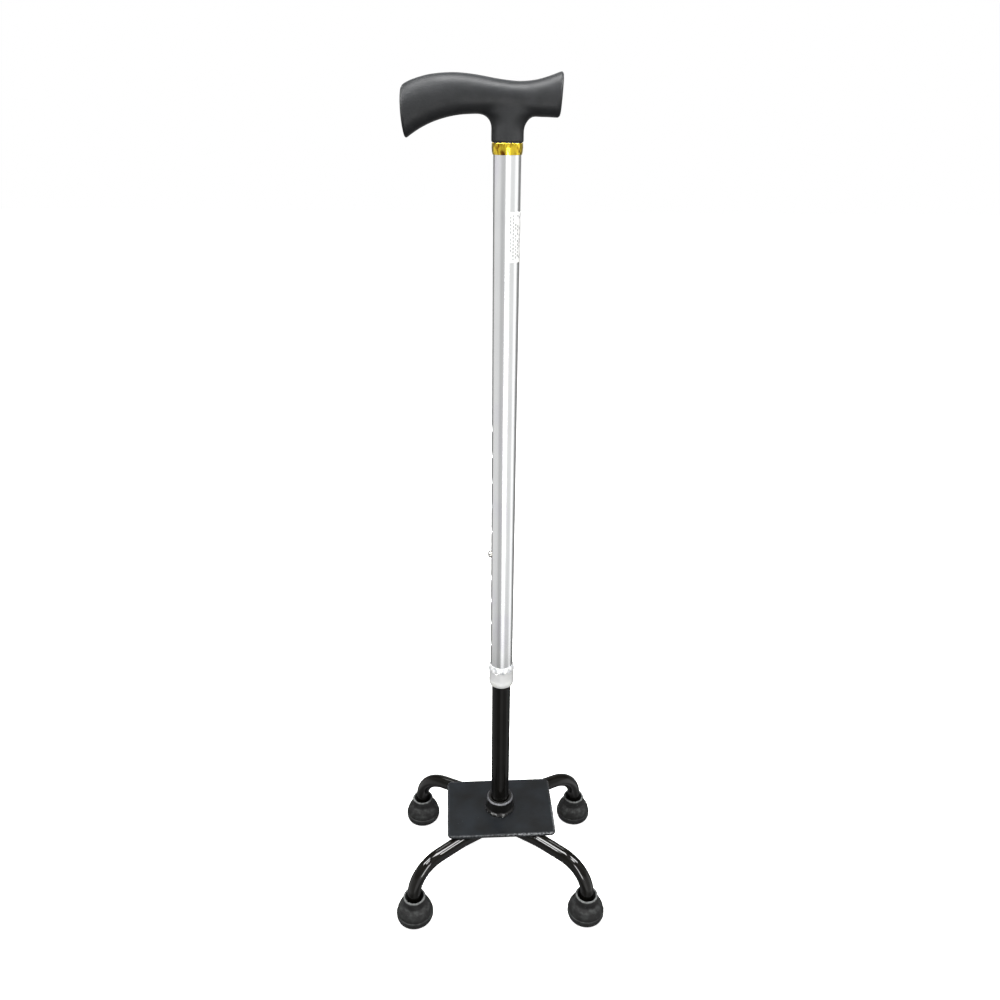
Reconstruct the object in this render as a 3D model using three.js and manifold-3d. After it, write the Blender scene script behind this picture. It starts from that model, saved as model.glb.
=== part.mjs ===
// Quad walking cane: a two-tube telescoping shaft with a T handle, standing on a plate with four bent legs.
// Millimetres, +Z up. The origin is on the floor under the shaft's axis. -Y is the front, and the handle's
// long arm points to -X, the side that carries the row of height holes.

import * as THREE from "three";
import { mergeVertices } from "three/addons/utils/BufferGeometryUtils.js";
import Module from "manifold-3d";

const wasm = await Module();
wasm.setup();

// ---------------------------------------------------------------- driving dimensions

const ROUND = 36; // sides of the shaft's tubes and of what fits them
const SMALL_ROUND = 12; // sides of a hole, a screw or a leg tube
const SEAT = 0.1; // gap left between two pieces that touch

const UPPER = { r: 11.1, bore: 10.1, bottom: 262, top: 790 };
const LOWER = { r: 9.5, bore: 8.3, bottom: 85.1, top: 463 };

const HOLES = { z: 402.85, pitch: 25.4, below: 4, above: 5, r: 3.6 };
const BUTTON = { r: 3.35, base: -6.8, dome: 2.0, tip: -14.1 };
const LEAF = { thick: 0.6, wide: 9, foot: 366, toe: 408 };

const LOCK = { bottom: 253.4, shoulder: 256.8, lip: 272, top: 278, r: 12.5, lipR: 12.85 };
const FERRULE = { bottom: 755.8, top: 764.5 };
const LABEL = { bottom: 675, top: 714, from: -92, to: 32, gap: 0.06, thick: 0.14 };

const PLATE = { x: 116, y: 82, thick: 3.5, top: 85, corner: 6, skew: 2.2, hole: 4.4 };
const SOCKET = { r: 14.2, bore: 9.6, top: 101.4, bead: 15.6 };
const BOLT = { r: 4, acrossFlats: 13, head: 5.3, top: 100, washerR: 8, washer: 1.6 };

const FOOT = { x: 91.6, y: 71.2, back: 1.5, bore: 7.5, floor: 8, washer: 1.2 };
const LEG = { r: 7.2, wall: 1.5, slope: 9, reach: 60, splay: 11 };
const BENDS = { foot: 38, ease: 60, plate: 30 }; // bend radii along a leg tube, on its centreline

const GRIP = { left: -82, right: 41, neckFoot: 764.6, neckR: 12.6, halfWidth: 13.2, power: 2.35 };

// The grip's upper and lower edges in its middle plane, as [x, z].
const GRIP_CROWN = [
  [-82, 803.8], [-74, 807.7], [-60, 811.4], [-43, 812.9], [-27, 811.9],
  [-6, 808.7], [8, 807.5], [20, 808.4], [31, 811.3], [41, 815],
];
const GRIP_BELLY = [
  [-82, 766.2], [-77, 769.3], [-66, 775.2], [-54, 780], [-41, 783.2],
  [-27, 784.4], [0, 784.4], [22, 782.8], [31, 782.6], [41, 782.2],
];

// ---------------------------------------------------------------- finishes

function finish(color, roughness, metalness = 0) {
  return new THREE.MeshStandardMaterial({ color, roughness, metalness });
}

const FINISHES = {
  grip: finish("#3a3b3d", 0.62),
  gold: finish("#d4b323", 0.25, 1),
  anodised: finish("#c9cbce", 0.3, 1),
  label: finish("#f2f2ef", 0.5),
  clearPlastic: finish("#dcdcdc", 0.35),
  nylon: finish("#e6e4dc", 0.5),
  blackGloss: finish("#1a1a16", 0.18, 0.1),
  blackPlate: finish("#2e302f", 0.45, 0.1),
  rubber: finish("#2b2b2c", 0.85),
  zinc: finish("#b4b8ba", 0.35, 1),
  springSteel: finish("#8d9196", 0.3, 1),
};

// ---------------------------------------------------------------- helpers

/** A closed geometry as a manifold-3d solid. */
function solid(geometry) {
  const bare = geometry.clone();
  bare.deleteAttribute("normal");
  bare.deleteAttribute("uv");
  const merged = mergeVertices(bare, 1e-4);
  const vertProperties = merged.attributes.position.array;
  return new wasm.Manifold(new wasm.Mesh({ numProp: 3, vertProperties, triVerts: merged.index.array }));
}

/** A manifold-3d solid as a geometry. */
function geometryOf(made) {
  const mesh = made.getMesh();
  const geometry = new THREE.BufferGeometry();
  geometry.setAttribute("position", new THREE.BufferAttribute(mesh.vertProperties, 3));
  geometry.setIndex(new THREE.BufferAttribute(mesh.triVerts, 1));
  geometry.computeVertexNormals();
  return geometry;
}

/** A geometry with each of the cutters taken out of it. */
function cut(geometry, ...cutters) {
  return geometryOf(cutters.reduce((left, cutter) => left.subtract(solid(cutter)), solid(geometry)));
}

/** Several overlapping geometries as one. */
function join(first, ...others) {
  return geometryOf(others.reduce((sum, other) => sum.add(solid(other)), solid(first)));
}

/** A profile of [radius, height] pairs turned about the Z axis. A profile off the axis closes on itself. */
function turned(profile, sides = ROUND) {
  const closes = profile[0][0] > 0;
  const points = (closes ? [...profile, profile[0]] : profile).map(([r, z]) => new THREE.Vector2(r, z));
  const geometry = new THREE.LatheGeometry(points, sides).rotateX(Math.PI / 2);
  const facesOut = solid(geometry).volume() > 0;
  return facesOut ? geometry : turned([...profile].reverse(), sides);
}

/** A plain ring or sleeve between two radii and two heights. */
function sleeve(inner, outer, bottom, top, sides = ROUND) {
  return turned([[inner, bottom], [outer, bottom], [outer, top], [inner, top]], sides);
}

/** An upright cylinder between two heights. */
function rod(r, bottom, top, sides = SMALL_ROUND) {
  return new THREE.CylinderGeometry(r, r, top - bottom, sides)
    .rotateX(Math.PI / 2)
    .translate(0, 0, (bottom + top) / 2);
}

/** A cylinder along X, between two places on that axis, at a height. */
function crossRod(r, from, to, z, sides = SMALL_ROUND) {
  return new THREE.CylinderGeometry(r, r, to - from, sides)
    .rotateZ(Math.PI / 2)
    .translate((from + to) / 2, 0, z);
}

/** A closed outline of [x, z] pairs, extruded along Y and centred on it. */
function slab(outline, wide) {
  const shape = new THREE.Shape(outline.map(([x, z]) => new THREE.Vector2(x, z)));
  return new THREE.ExtrudeGeometry(shape, { depth: wide, bevelEnabled: false })
    .translate(0, 0, -wide / 2)
    .rotateX(Math.PI / 2);
}

/** Rings of points, each with the same count, skinned into one closed body with flat fans at its ends. */
function skin(rings) {
  const count = rings[0].length;
  const points = rings.flat();
  const faces = [];
  for (let row = 0; row + 1 < rings.length; row++) {
    for (let i = 0; i < count; i++) {
      const a = row * count + i;
      const b = row * count + ((i + 1) % count);
      faces.push(a, b, b + count, a, b + count, a + count);
    }
  }
  const last = (rings.length - 1) * count;
  for (let i = 1; i + 1 < count; i++) {
    faces.push(0, i + 1, i, last, last + i, last + i + 1);
  }
  const geometry = new THREE.BufferGeometry().setFromPoints(points);
  geometry.setIndex(faces);
  return geometry;
}

/** A smooth curve through [x, z] pairs, read as the height at an x. */
function edgeThrough(pairs) {
  const spline = new THREE.SplineCurve(pairs.map(([x, z]) => new THREE.Vector2(x, z)));
  const samples = spline.getPoints(pairs.length * 12);
  return (x) => {
    const next = Math.max(1, samples.findIndex((p) => p.x >= x - 1e-9));
    const [a, b] = [samples[next - 1], samples[next]];
    return a.y + ((b.y - a.y) * (x - a.x)) / (b.x - a.x);
  };
}

/** An arc that rounds the corner at a vertex between two directions. */
class CornerArc extends THREE.Curve {
  constructor(vertex, along, away, radius) {
    super();
    this.turn = along.angleTo(away);
    this.radius = radius;
    this.along = along;
    this.inward = away.clone().addScaledVector(along, -Math.cos(this.turn)).normalize();
    this.reach = radius * Math.tan(this.turn / 2);
    this.start = vertex.clone().addScaledVector(along, -this.reach);
    this.centre = this.start.clone().addScaledVector(this.inward, radius);
  }
  getPoint(t, target = new THREE.Vector3()) {
    const angle = t * this.turn;
    return target
      .copy(this.centre)
      .addScaledVector(this.inward, -this.radius * Math.cos(angle))
      .addScaledVector(this.along, this.radius * Math.sin(angle));
  }
}

/** Straight runs between vertices, with each inner vertex rounded by its bend radius. */
function bentPath(vertices, radii) {
  const path = new THREE.CurvePath();
  let from = vertices[0];
  radii.forEach((radius, i) => {
    const vertex = vertices[i + 1];
    const along = vertex.clone().sub(vertices[i]).normalize();
    const away = vertices[i + 2].clone().sub(vertex).normalize();
    const arc = new CornerArc(vertex, along, away, radius);
    path.add(new THREE.LineCurve3(from, arc.getPoint(0)));
    path.add(arc);
    from = arc.getPoint(1);
  });
  path.add(new THREE.LineCurve3(from, vertices.at(-1)));
  return path;
}

function circle(r, sides) {
  return Array.from({ length: sides }, (_, i) => {
    const angle = (2 * Math.PI * i) / sides;
    return new THREE.Vector2(r * Math.cos(angle), r * Math.sin(angle));
  });
}

/** A round tube that follows a path. */
function pipe(path, r, wall, steps, sides = SMALL_ROUND) {
  const section = new THREE.Shape(circle(r, sides));
  section.holes.push(new THREE.Path(circle(r - wall, sides).reverse()));
  return new THREE.ExtrudeGeometry(section, { steps, extrudePath: path, bevelEnabled: false });
}

function named(name, geometry, material) {
  const mesh = new THREE.Mesh(geometry, material);
  mesh.name = name;
  return mesh;
}

// ---------------------------------------------------------------- handle

/** How far the grip's end rounding draws its section in, at a distance from the end. */
function endInset(distance, radius) {
  const short = Math.max(0, radius - distance);
  return radius - Math.sqrt(radius * radius - short * short);
}

/** The hand grip's long body: rounded sections between its crown and its belly. */
function gripBody() {
  const crown = edgeThrough(GRIP_CROWN);
  const belly = edgeThrough(GRIP_BELLY);
  const edge = 2.4;
  const sides = 20;
  const bow = 2.4; // how far the left end's foot lies in from its face
  const bowFade = 24;
  const slant = 1.4; // how far the right end's foot lies in from its top
  const ends = [0, 0.3, 1.2, edge];
  const length = GRIP.right - GRIP.left;
  const inner = Array.from({ length: 17 }, (_, i) => edge + ((length - 2 * edge) * (i + 1)) / 18);
  const stations = [...ends, ...inner, ...ends.map((d) => length - d).reverse()];
  const rings = stations.map((d) => {
    const x = GRIP.left + d;
    const inset = endInset(Math.min(d, length - d), edge);
    const top = crown(x) - inset;
    const bottom = belly(x) + inset;
    const half = (top - bottom) / 2;
    const across = GRIP.halfWidth - 1.1 * Math.max(0, (d - length + 30) / 30) - inset;
    return circle(1, sides).map((unit) => {
      const y = across * Math.sign(unit.x) * Math.abs(unit.x) ** (2 / GRIP.power);
      const z = (top + bottom) / 2 + half * Math.sign(unit.y) * Math.abs(unit.y) ** (2 / GRIP.power);
      const lean = bow * Math.max(0, 1 - d / bowFade) * Math.min(1, Math.abs(z - 792) / 25) ** 2;
      const tuck = slant * Math.max(0, 1 - (length - d) / bowFade) * ((806 - z) / 24);
      return new THREE.Vector3(x + lean - tuck, y, z);
    });
  });
  return skin(rings);
}

/** The neck that flares from the shaft's ferrule into the grip's belly, wide in X and plain in Y. */
function gripNeck() {
  const flare = { left: 9.5, right: 12.5 }; // radius of the fillet under each arm
  const top = GRIP_BELLY[6][1];
  const widening = (z, radius) => {
    const risen = Math.max(0, radius - Math.max(0, top - z));
    return GRIP.neckR + radius - Math.sqrt(radius * radius - risen * risen);
  };
  const rise = [772, 774, 776.5, 779, 781, 782.6, 783.7, top, top + 6];
  const levels = [[GRIP.neckFoot, GRIP.neckR - 0.5], [GRIP.neckFoot + 0.7, GRIP.neckR]];
  rise.forEach((z) => levels.push([z, GRIP.neckR - Math.max(0, z - top) / 4]));
  const rings = levels.map(([z, b]) =>
    circle(1, 24).map((unit) => {
      const side = unit.x < 0 ? flare.left : flare.right;
      const a = b + widening(Math.min(z, top), side) - GRIP.neckR;
      return new THREE.Vector3(a * unit.x, b * unit.y, z);
    }),
  );
  return skin(rings);
}

const SCREW = { r: 2, headR: 4, head: 2.6, plugBottom: 770, tip: 803 };

function gripGeometry() {
  const socket = rod(UPPER.r + SEAT, GRIP.neckFoot - 1, UPPER.top + 0.4, ROUND);
  const pilot = rod(SCREW.r + SEAT, UPPER.top, SCREW.tip + 0.6);
  return cut(join(gripBody(), gripNeck()), socket, pilot);
}

function ferruleGeometry() {
  const bore = UPPER.r + SEAT;
  return turned([
    [bore, FERRULE.bottom], [11.55, FERRULE.bottom], [12.1, 757.9], [12.35, 761.2], [12.2, FERRULE.top],
    [bore, FERRULE.top],
  ]);
}

function handlePlugGeometry() {
  return sleeve(SCREW.r + SEAT, UPPER.bore - SEAT, SCREW.plugBottom, UPPER.top - SEAT);
}

function handleScrewGeometry() {
  const under = SCREW.plugBottom - SEAT;
  const foot = under - SCREW.head;
  return turned(
    [
      [0, foot], [SCREW.headR - 0.6, foot], [SCREW.headR, foot + 0.8], [SCREW.headR, under],
      [SCREW.r, under], [SCREW.r, SCREW.tip - 3], [0, SCREW.tip],
    ],
    SMALL_ROUND,
  );
}

// ---------------------------------------------------------------- shaft

function upperTubeGeometry() {
  const holes = Array.from({ length: HOLES.below + HOLES.above + 1 }, (_, i) =>
    crossRod(HOLES.r, -UPPER.r - 2, -UPPER.bore + 2, HOLES.z + (i - HOLES.below) * HOLES.pitch),
  );
  return cut(sleeve(UPPER.bore, UPPER.r, UPPER.bottom, UPPER.top), ...holes);
}

/** A blank label wrapped on the tube: a thin curved strip between two bearings about the axis. */
function labelGeometry() {
  const [inner, outer] = [UPPER.r + LABEL.gap, UPPER.r + LABEL.gap + LABEL.thick];
  const [from, to] = [LABEL.from, LABEL.to].map(THREE.MathUtils.degToRad);
  const shape = new THREE.Shape();
  shape.absarc(0, 0, outer, from, to, false);
  shape.absarc(0, 0, inner, to, from, true);
  const settings = { depth: LABEL.top - LABEL.bottom, bevelEnabled: false, curveSegments: 16 };
  return new THREE.ExtrudeGeometry(shape, settings).translate(0, 0, LABEL.bottom);
}

/** A split nylon collet: its liner sits in the upper tube, and its fingers hang inside the lock nut. */
function colletGeometry() {
  const bore = LOWER.r + SEAT;
  const foot = LOCK.bottom + 1.8;
  const end = UPPER.bottom - SEAT;
  const body = turned([
    [bore, foot], [10.3, foot], [10.95, foot + 4.8], [10.95, end], [UPPER.bore - SEAT, end],
    [UPPER.bore - SEAT, end + 12], [bore, end + 12],
  ]);
  const slot = new THREE.BoxGeometry(30, 1.2, 5).translate(0, 0, foot + 1.8);
  return cut(body, slot, slot.clone().rotateZ(Math.PI / 2));
}

/** The lock nut that squeezes the collet: a moulded ring with a raised lip at its top. */
function lockNutGeometry() {
  const bore = UPPER.r + SEAT;
  return turned([
    [9.8, LOCK.bottom], [10.8, LOCK.bottom], [12, LOCK.bottom + 1.1], [LOCK.r, LOCK.shoulder],
    [LOCK.r, LOCK.lip], [LOCK.lipR, LOCK.lip + 1], [LOCK.lipR, LOCK.top - 0.8], [LOCK.lipR - 0.6, LOCK.top],
    [bore, LOCK.top], [bore, LOCK.bottom + 7.2], [10.6, LOCK.bottom + 1.5],
  ]);
}

function lowerTubeGeometry() {
  const hole = crossRod(BUTTON.r + SEAT, -LOWER.r - 2, -LOWER.bore + 2, HOLES.z);
  return cut(sleeve(LOWER.bore, LOWER.r, LOWER.bottom, LOWER.top), hole);
}

/** The bush on the lower tube's top end, which runs in the upper tube. */
function guideBushGeometry() {
  const run = UPPER.bore - SEAT;
  const [bore, foot, lip] = [LOWER.r + SEAT, LOWER.top - 12, LOWER.top + SEAT];
  return turned([
    [bore, foot], [run, foot], [run, lip + 1], [run - 0.6, lip + 1.6],
    [LOWER.bore - 0.7, lip + 1.6], [LOWER.bore - 0.7, lip], [bore, lip],
  ]);
}

/** The snap button: a domed stud with a rivet tail through the leaf spring. Its axis is X. */
function snapButtonGeometry() {
  const dome = Array.from({ length: 5 }, (_, i) => {
    const angle = (i * Math.PI) / 8;
    return [BUTTON.r * Math.cos(angle), -BUTTON.tip - BUTTON.dome * (1 - Math.sin(angle))];
  });
  dome[4][0] = 0;
  const base = -BUTTON.base;
  const rivet = base - SEAT - LEAF.thick - SEAT;
  const [tail, clinch] = [1.4, 2.3]; // radii of the rivet's tail and of its clinched end
  const stud = [[0, rivet - 0.6], [clinch, rivet - 0.6], [clinch, rivet], [tail, rivet], [tail, base]];
  return turned([...stud, [BUTTON.r, base], ...dome], 16)
    .rotateY(-Math.PI / 2)
    .translate(0, 0, HOLES.z);
}

/** The spring that pushes the button out: a strip bent into a narrow V inside the lower tube. */
function buttonSpringGeometry() {
  const out = BUTTON.base + SEAT;
  const inn = out + LEAF.thick;
  const far = 6.7;
  const near = far - LEAF.thick;
  const bend = [[-1.6, LEAF.foot], [0, LEAF.foot - 1.2], [1.6, LEAF.foot]];
  const bendIn = [[1.1, LEAF.foot + 0.4], [0, LEAF.foot - 0.5], [-1.1, LEAF.foot + 0.4]];
  const strip = slab(
    [
      [out, LEAF.toe], [out, 396], ...bend, [far, 398], [far - 0.4, LEAF.toe - 2],
      [near - 0.4, LEAF.toe - 2], [near, 398], ...bendIn, [inn, 396], [inn, LEAF.toe],
    ],
    LEAF.wide,
  );
  return cut(strip, crossRod(1.5, out - 1, inn + 1, HOLES.z));
}

// ---------------------------------------------------------------- base

function plateGeometry() {
  const [w, h, r] = [PLATE.x / 2, PLATE.y / 2, PLATE.corner];
  const shape = new THREE.Shape();
  shape.absarc(w - r, h - r, r, 0, Math.PI / 2);
  shape.absarc(r - w, h - r, r, Math.PI / 2, Math.PI);
  shape.absarc(r - w, r - h, r, Math.PI, 1.5 * Math.PI);
  shape.absarc(w - r, r - h, r, 1.5 * Math.PI, 2 * Math.PI);
  shape.holes.push(new THREE.Path(circle(PLATE.hole, SMALL_ROUND).reverse()));
  const settings = { depth: PLATE.thick, bevelEnabled: false, curveSegments: 6 };
  return new THREE.ExtrudeGeometry(shape, settings).translate(0, 0, PLATE.top - PLATE.thick);
}

/** The collar that the lower tube stands in, with its weld bead at the foot. */
function socketGeometry() {
  const [foot, top] = [PLATE.top + SEAT, SOCKET.top];
  return turned([
    [SOCKET.bore, foot], [SOCKET.bead, foot], [SOCKET.r, foot + 2.4], [SOCKET.r, top - 1.4],
    [SOCKET.r - 1.4, top], [SOCKET.bore + 1, top], [SOCKET.bore, top - 0.8],
  ]);
}

/** The threaded plug in the lower tube's foot. */
function tubePlugGeometry() {
  return sleeve(BOLT.r + SEAT, LOWER.bore - SEAT, LOWER.bottom + 0.2, BOLT.top + 4);
}

/** The hexagon bolt that pulls the plate and the plug together from below. */
function baseBoltGeometry() {
  const seat = PLATE.top - PLATE.thick - BOLT.washer - 2 * SEAT;
  const corner = BOLT.acrossFlats / Math.sqrt(3);
  return join(rod(corner, seat - BOLT.head, seat, 6), rod(BOLT.r, seat - 1, BOLT.top));
}

function baseWasherGeometry() {
  const top = PLATE.top - PLATE.thick - SEAT;
  return sleeve(BOLT.r + 0.3, BOLT.washerR, top - BOLT.washer, top, 32);
}

/** One steel tube bent into two legs. It is welded under the plate, and stands in two rubber feet. */
function legTubeGeometry(side) {
  const run = PLATE.top - PLATE.thick - SEAT - LEG.r;
  const end = FOOT.floor + FOOT.washer + 2 * SEAT;
  const drop = LEG.reach * Math.tan(THREE.MathUtils.degToRad(LEG.slope));
  const middle = new THREE.Vector3(0, side * LEG.splay, run);
  const half = [-1, 1].map((way) => {
    const top = new THREE.Vector3(way * FOOT.x, side * FOOT.y + FOOT.back, run - drop);
    const inward = middle.clone().sub(top).setZ(0).normalize();
    const ease = top.clone().addScaledVector(inward, LEG.reach).setZ(run);
    return [top.clone().setZ(end), top, ease];
  });
  const vertices = [...half[0], middle, ...half[1].reverse()];
  const radii = [BENDS.foot, BENDS.ease, BENDS.plate, BENDS.ease, BENDS.foot];
  return pipe(bentPath(vertices, radii), LEG.r, LEG.wall, 44);
}

/** A rubber foot: a broad ring on the floor, a waisted dome and a neck with an open mouth. */
function rubberFootGeometry() {
  return turned(
    [
      [0, 1.6], [8.6, 1.6], [9.2, 0], [16.2, 0], [18.4, 1.6], [19.5, 4.6], [19.3, 9.2], [17.3, 14.6],
      [13.2, 19.8], [12.1, 23.5], [12.1, 28.8], [10.6, 30], [9.4, 28.8], [FOOT.bore, 21],
      [FOOT.bore, FOOT.floor], [0, FOOT.floor],
    ],
    24,
  );
}

function footWasherGeometry() {
  return turned(
    [[0, 0], [7, 0], [7, FOOT.washer], [0, FOOT.washer]].map(([r, z]) => [r, z + FOOT.floor + SEAT]),
    24,
  );
}

// ---------------------------------------------------------------- assembly

const cane = new THREE.Group();

const upperShaft = new THREE.Group();
upperShaft.add(
  named("handle_grip", gripGeometry(), FINISHES.grip),
  named("handle_plug", handlePlugGeometry(), FINISHES.nylon),
  named("handle_screw", handleScrewGeometry(), FINISHES.zinc),
  named("ferrule_ring", ferruleGeometry(), FINISHES.gold),
  named("upper_tube", upperTubeGeometry(), FINISHES.anodised),
  named("tube_label", labelGeometry(), FINISHES.label),
  named("collet_bush", colletGeometry(), FINISHES.nylon),
);

const lockRing = named("lock_nut", lockNutGeometry(), FINISHES.clearPlastic);
const button = named("snap_button", snapButtonGeometry(), FINISHES.zinc);

const base = new THREE.Group();
const plate = named("base_plate", plateGeometry(), FINISHES.blackPlate);
plate.rotation.z = THREE.MathUtils.degToRad(PLATE.skew);
base.add(
  plate,
  named("lower_tube", lowerTubeGeometry(), FINISHES.blackGloss),
  named("guide_bush", guideBushGeometry(), FINISHES.nylon),
  named("button_spring", buttonSpringGeometry(), FINISHES.springSteel),
  named("base_socket", socketGeometry(), FINISHES.blackGloss),
  named("tube_plug", tubePlugGeometry(), FINISHES.zinc),
  named("base_bolt", baseBoltGeometry(), FINISHES.zinc),
  named("base_washer", baseWasherGeometry(), FINISHES.zinc),
  named("leg_tube_front", legTubeGeometry(-1), FINISHES.blackGloss),
  named("leg_tube_rear", legTubeGeometry(1), FINISHES.blackGloss),
);

for (const [corner, wayX, wayY] of [["fl", -1, -1], ["fr", 1, -1], ["rl", -1, 1], ["rr", 1, 1]]) {
  const foot = new THREE.Group();
  foot.position.set(wayX * FOOT.x, wayY * FOOT.y + FOOT.back, 0);
  foot.add(
    named("rubber_foot_" + corner, rubberFootGeometry(), FINISHES.rubber),
    named("foot_washer_" + corner, footWasherGeometry(), FINISHES.zinc),
  );
  base.add(foot);
}

cane.add(upperShaft, lockRing, button, base);

export default cane;
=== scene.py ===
"""The looks of a quad walking cane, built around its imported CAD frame.

Sizes are in millimetres and MM turns them into the frame's metres. +Z is up, -Y is the front, and the shaft's
axis is the Z axis. The handle's long arm and the row of height holes are on the -X side.
"""

import logging
import math
from collections.abc import Callable, Sequence
from dataclasses import dataclass, field
from enum import Enum
from typing import Any, ClassVar

import bmesh
import bpy
from mathutils import Matrix, Vector, noise


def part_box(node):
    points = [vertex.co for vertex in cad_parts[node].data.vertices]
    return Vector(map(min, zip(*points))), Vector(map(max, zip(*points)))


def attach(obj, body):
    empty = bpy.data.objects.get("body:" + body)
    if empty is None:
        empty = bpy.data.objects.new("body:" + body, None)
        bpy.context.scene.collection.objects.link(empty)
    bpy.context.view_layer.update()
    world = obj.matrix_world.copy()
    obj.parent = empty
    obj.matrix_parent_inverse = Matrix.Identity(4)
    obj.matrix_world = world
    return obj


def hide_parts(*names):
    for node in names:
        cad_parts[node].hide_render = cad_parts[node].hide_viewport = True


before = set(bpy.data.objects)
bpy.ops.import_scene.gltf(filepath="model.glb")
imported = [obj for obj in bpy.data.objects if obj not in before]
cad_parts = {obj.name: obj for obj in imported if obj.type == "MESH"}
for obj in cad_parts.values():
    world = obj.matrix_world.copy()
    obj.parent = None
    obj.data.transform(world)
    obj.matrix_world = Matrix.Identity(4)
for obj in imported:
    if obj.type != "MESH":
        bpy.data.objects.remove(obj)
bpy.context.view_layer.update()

LOG = logging.getLogger("cane")

MM = 0.001
FULL_TURN = 2 * math.pi
SEAT = 0.1  # the gap between two pieces that are fitted together

# The vertex attribute that says how worn a surface is, and where the collar has painted highlights.
WEAR_AND_HIGHLIGHT = "wear_and_highlight"

# Sockets of a colour mix, which shares its socket names with the other kinds of mix.
MIX_A, MIX_B, MIX_OUT = 6, 7, 2

Point2 = tuple[float, float]
Point3 = tuple[float, float, float]
Points = list[Vector]
Lamp = tuple[str, Point3, Point3, Point2, float, bool]
Mould = Callable[[float, float, float], Point2]
Tree = bpy.types.NodeTree
Node = bpy.types.Node
Socket = bpy.types.NodeSocket


class Body(Enum):
    """The CAD bodies that a piece can ride on."""

    BASE = "base"
    UPPER = "upper_shaft"
    LOCK = "lock_ring"
    BUTTON = "button"


class Slot(Enum):
    """The record's material slots."""

    GRIP = "grip"
    GOLD = "gold"
    ANODISED = "anodised"
    LABEL = "label"
    CLEAR_RING = "clear_ring"
    NYLON = "nylon"
    BLACK_GLOSS = "black_gloss"
    BLACK_SATIN = "black_satin"
    RUBBER = "rubber"
    ZINC = "zinc"
    SPRING_STEEL = "spring_steel"


# ---------------------------------------------------------------- colours and shader nodes


def linear(hex_colour: str) -> tuple[float, float, float, float]:
    """Turns an sRGB colour into the linear one that a shader takes.

    Args:
        hex_colour: The colour as "#rrggbb".

    Returns:
        Linear red, green, blue, and an alpha of 1.
    """
    parts = [int(hex_colour[i : i + 2], 16) / 255 for i in (1, 3, 5)]
    red, green, blue = (c / 12.92 if c <= 0.04045 else ((c + 0.055) / 1.055) ** 2.4 for c in parts)
    return red, green, blue, 1.0


def per_metre(size_mm: float) -> float:
    """A pattern's scale, for a feature of this size in object coordinates."""
    return 1 / (size_mm * MM)


def add_node(
    tree: Tree,
    kind: str,
    inputs: dict[str | int, Any] | None = None,
    settings: dict[str, Any] | None = None,
) -> Node:
    """Adds a node with its settings, values and links.

    Args:
        tree: The node tree to add to.
        kind: The node's type name.
        inputs: What each input holds or is linked from, by its name or number.
        settings: The node's own properties.

    Returns:
        The new node.
    """
    node = tree.nodes.new(kind)
    for name, value in (settings or {}).items():
        setattr(node, name, value)
    for key, value in (inputs or {}).items():
        if isinstance(value, Socket):
            tree.links.new(value, node.inputs[key])
        else:
            node.inputs[key].default_value = value
    return node


def specks(tree: Tree, coords: Socket, spacing: float, size: float, share: float) -> Socket:
    """Scattered specks, such as dust or grit.

    Args:
        tree: The material's node tree.
        coords: The coordinates socket.
        spacing: The mean distance between places for a speck, in millimetres.
        size: A speck's diameter, in millimetres.
        share: The part of the places that hold a speck.

    Returns:
        A socket that is 1 in a speck and 0 outside it.
    """
    cells = add_node(tree, "ShaderNodeTexVoronoi", {"Vector": coords, "Scale": per_metre(spacing)})
    reach = size / spacing / 2
    inside = add_node(
        tree,
        "ShaderNodeMapRange",
        {"Value": cells.outputs["Distance"], "From Min": reach, "From Max": reach * 0.6},
    )
    chosen = add_node(
        tree,
        "ShaderNodeMath",
        {0: cells.outputs["Color"], 1: share},
        {"operation": "LESS_THAN"},
    )
    both = {0: inside.outputs["Result"], 1: chosen.outputs["Value"]}
    return add_node(tree, "ShaderNodeMath", both, {"operation": "MULTIPLY"}).outputs["Value"]


# ---------------------------------------------------------------- finishes


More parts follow.
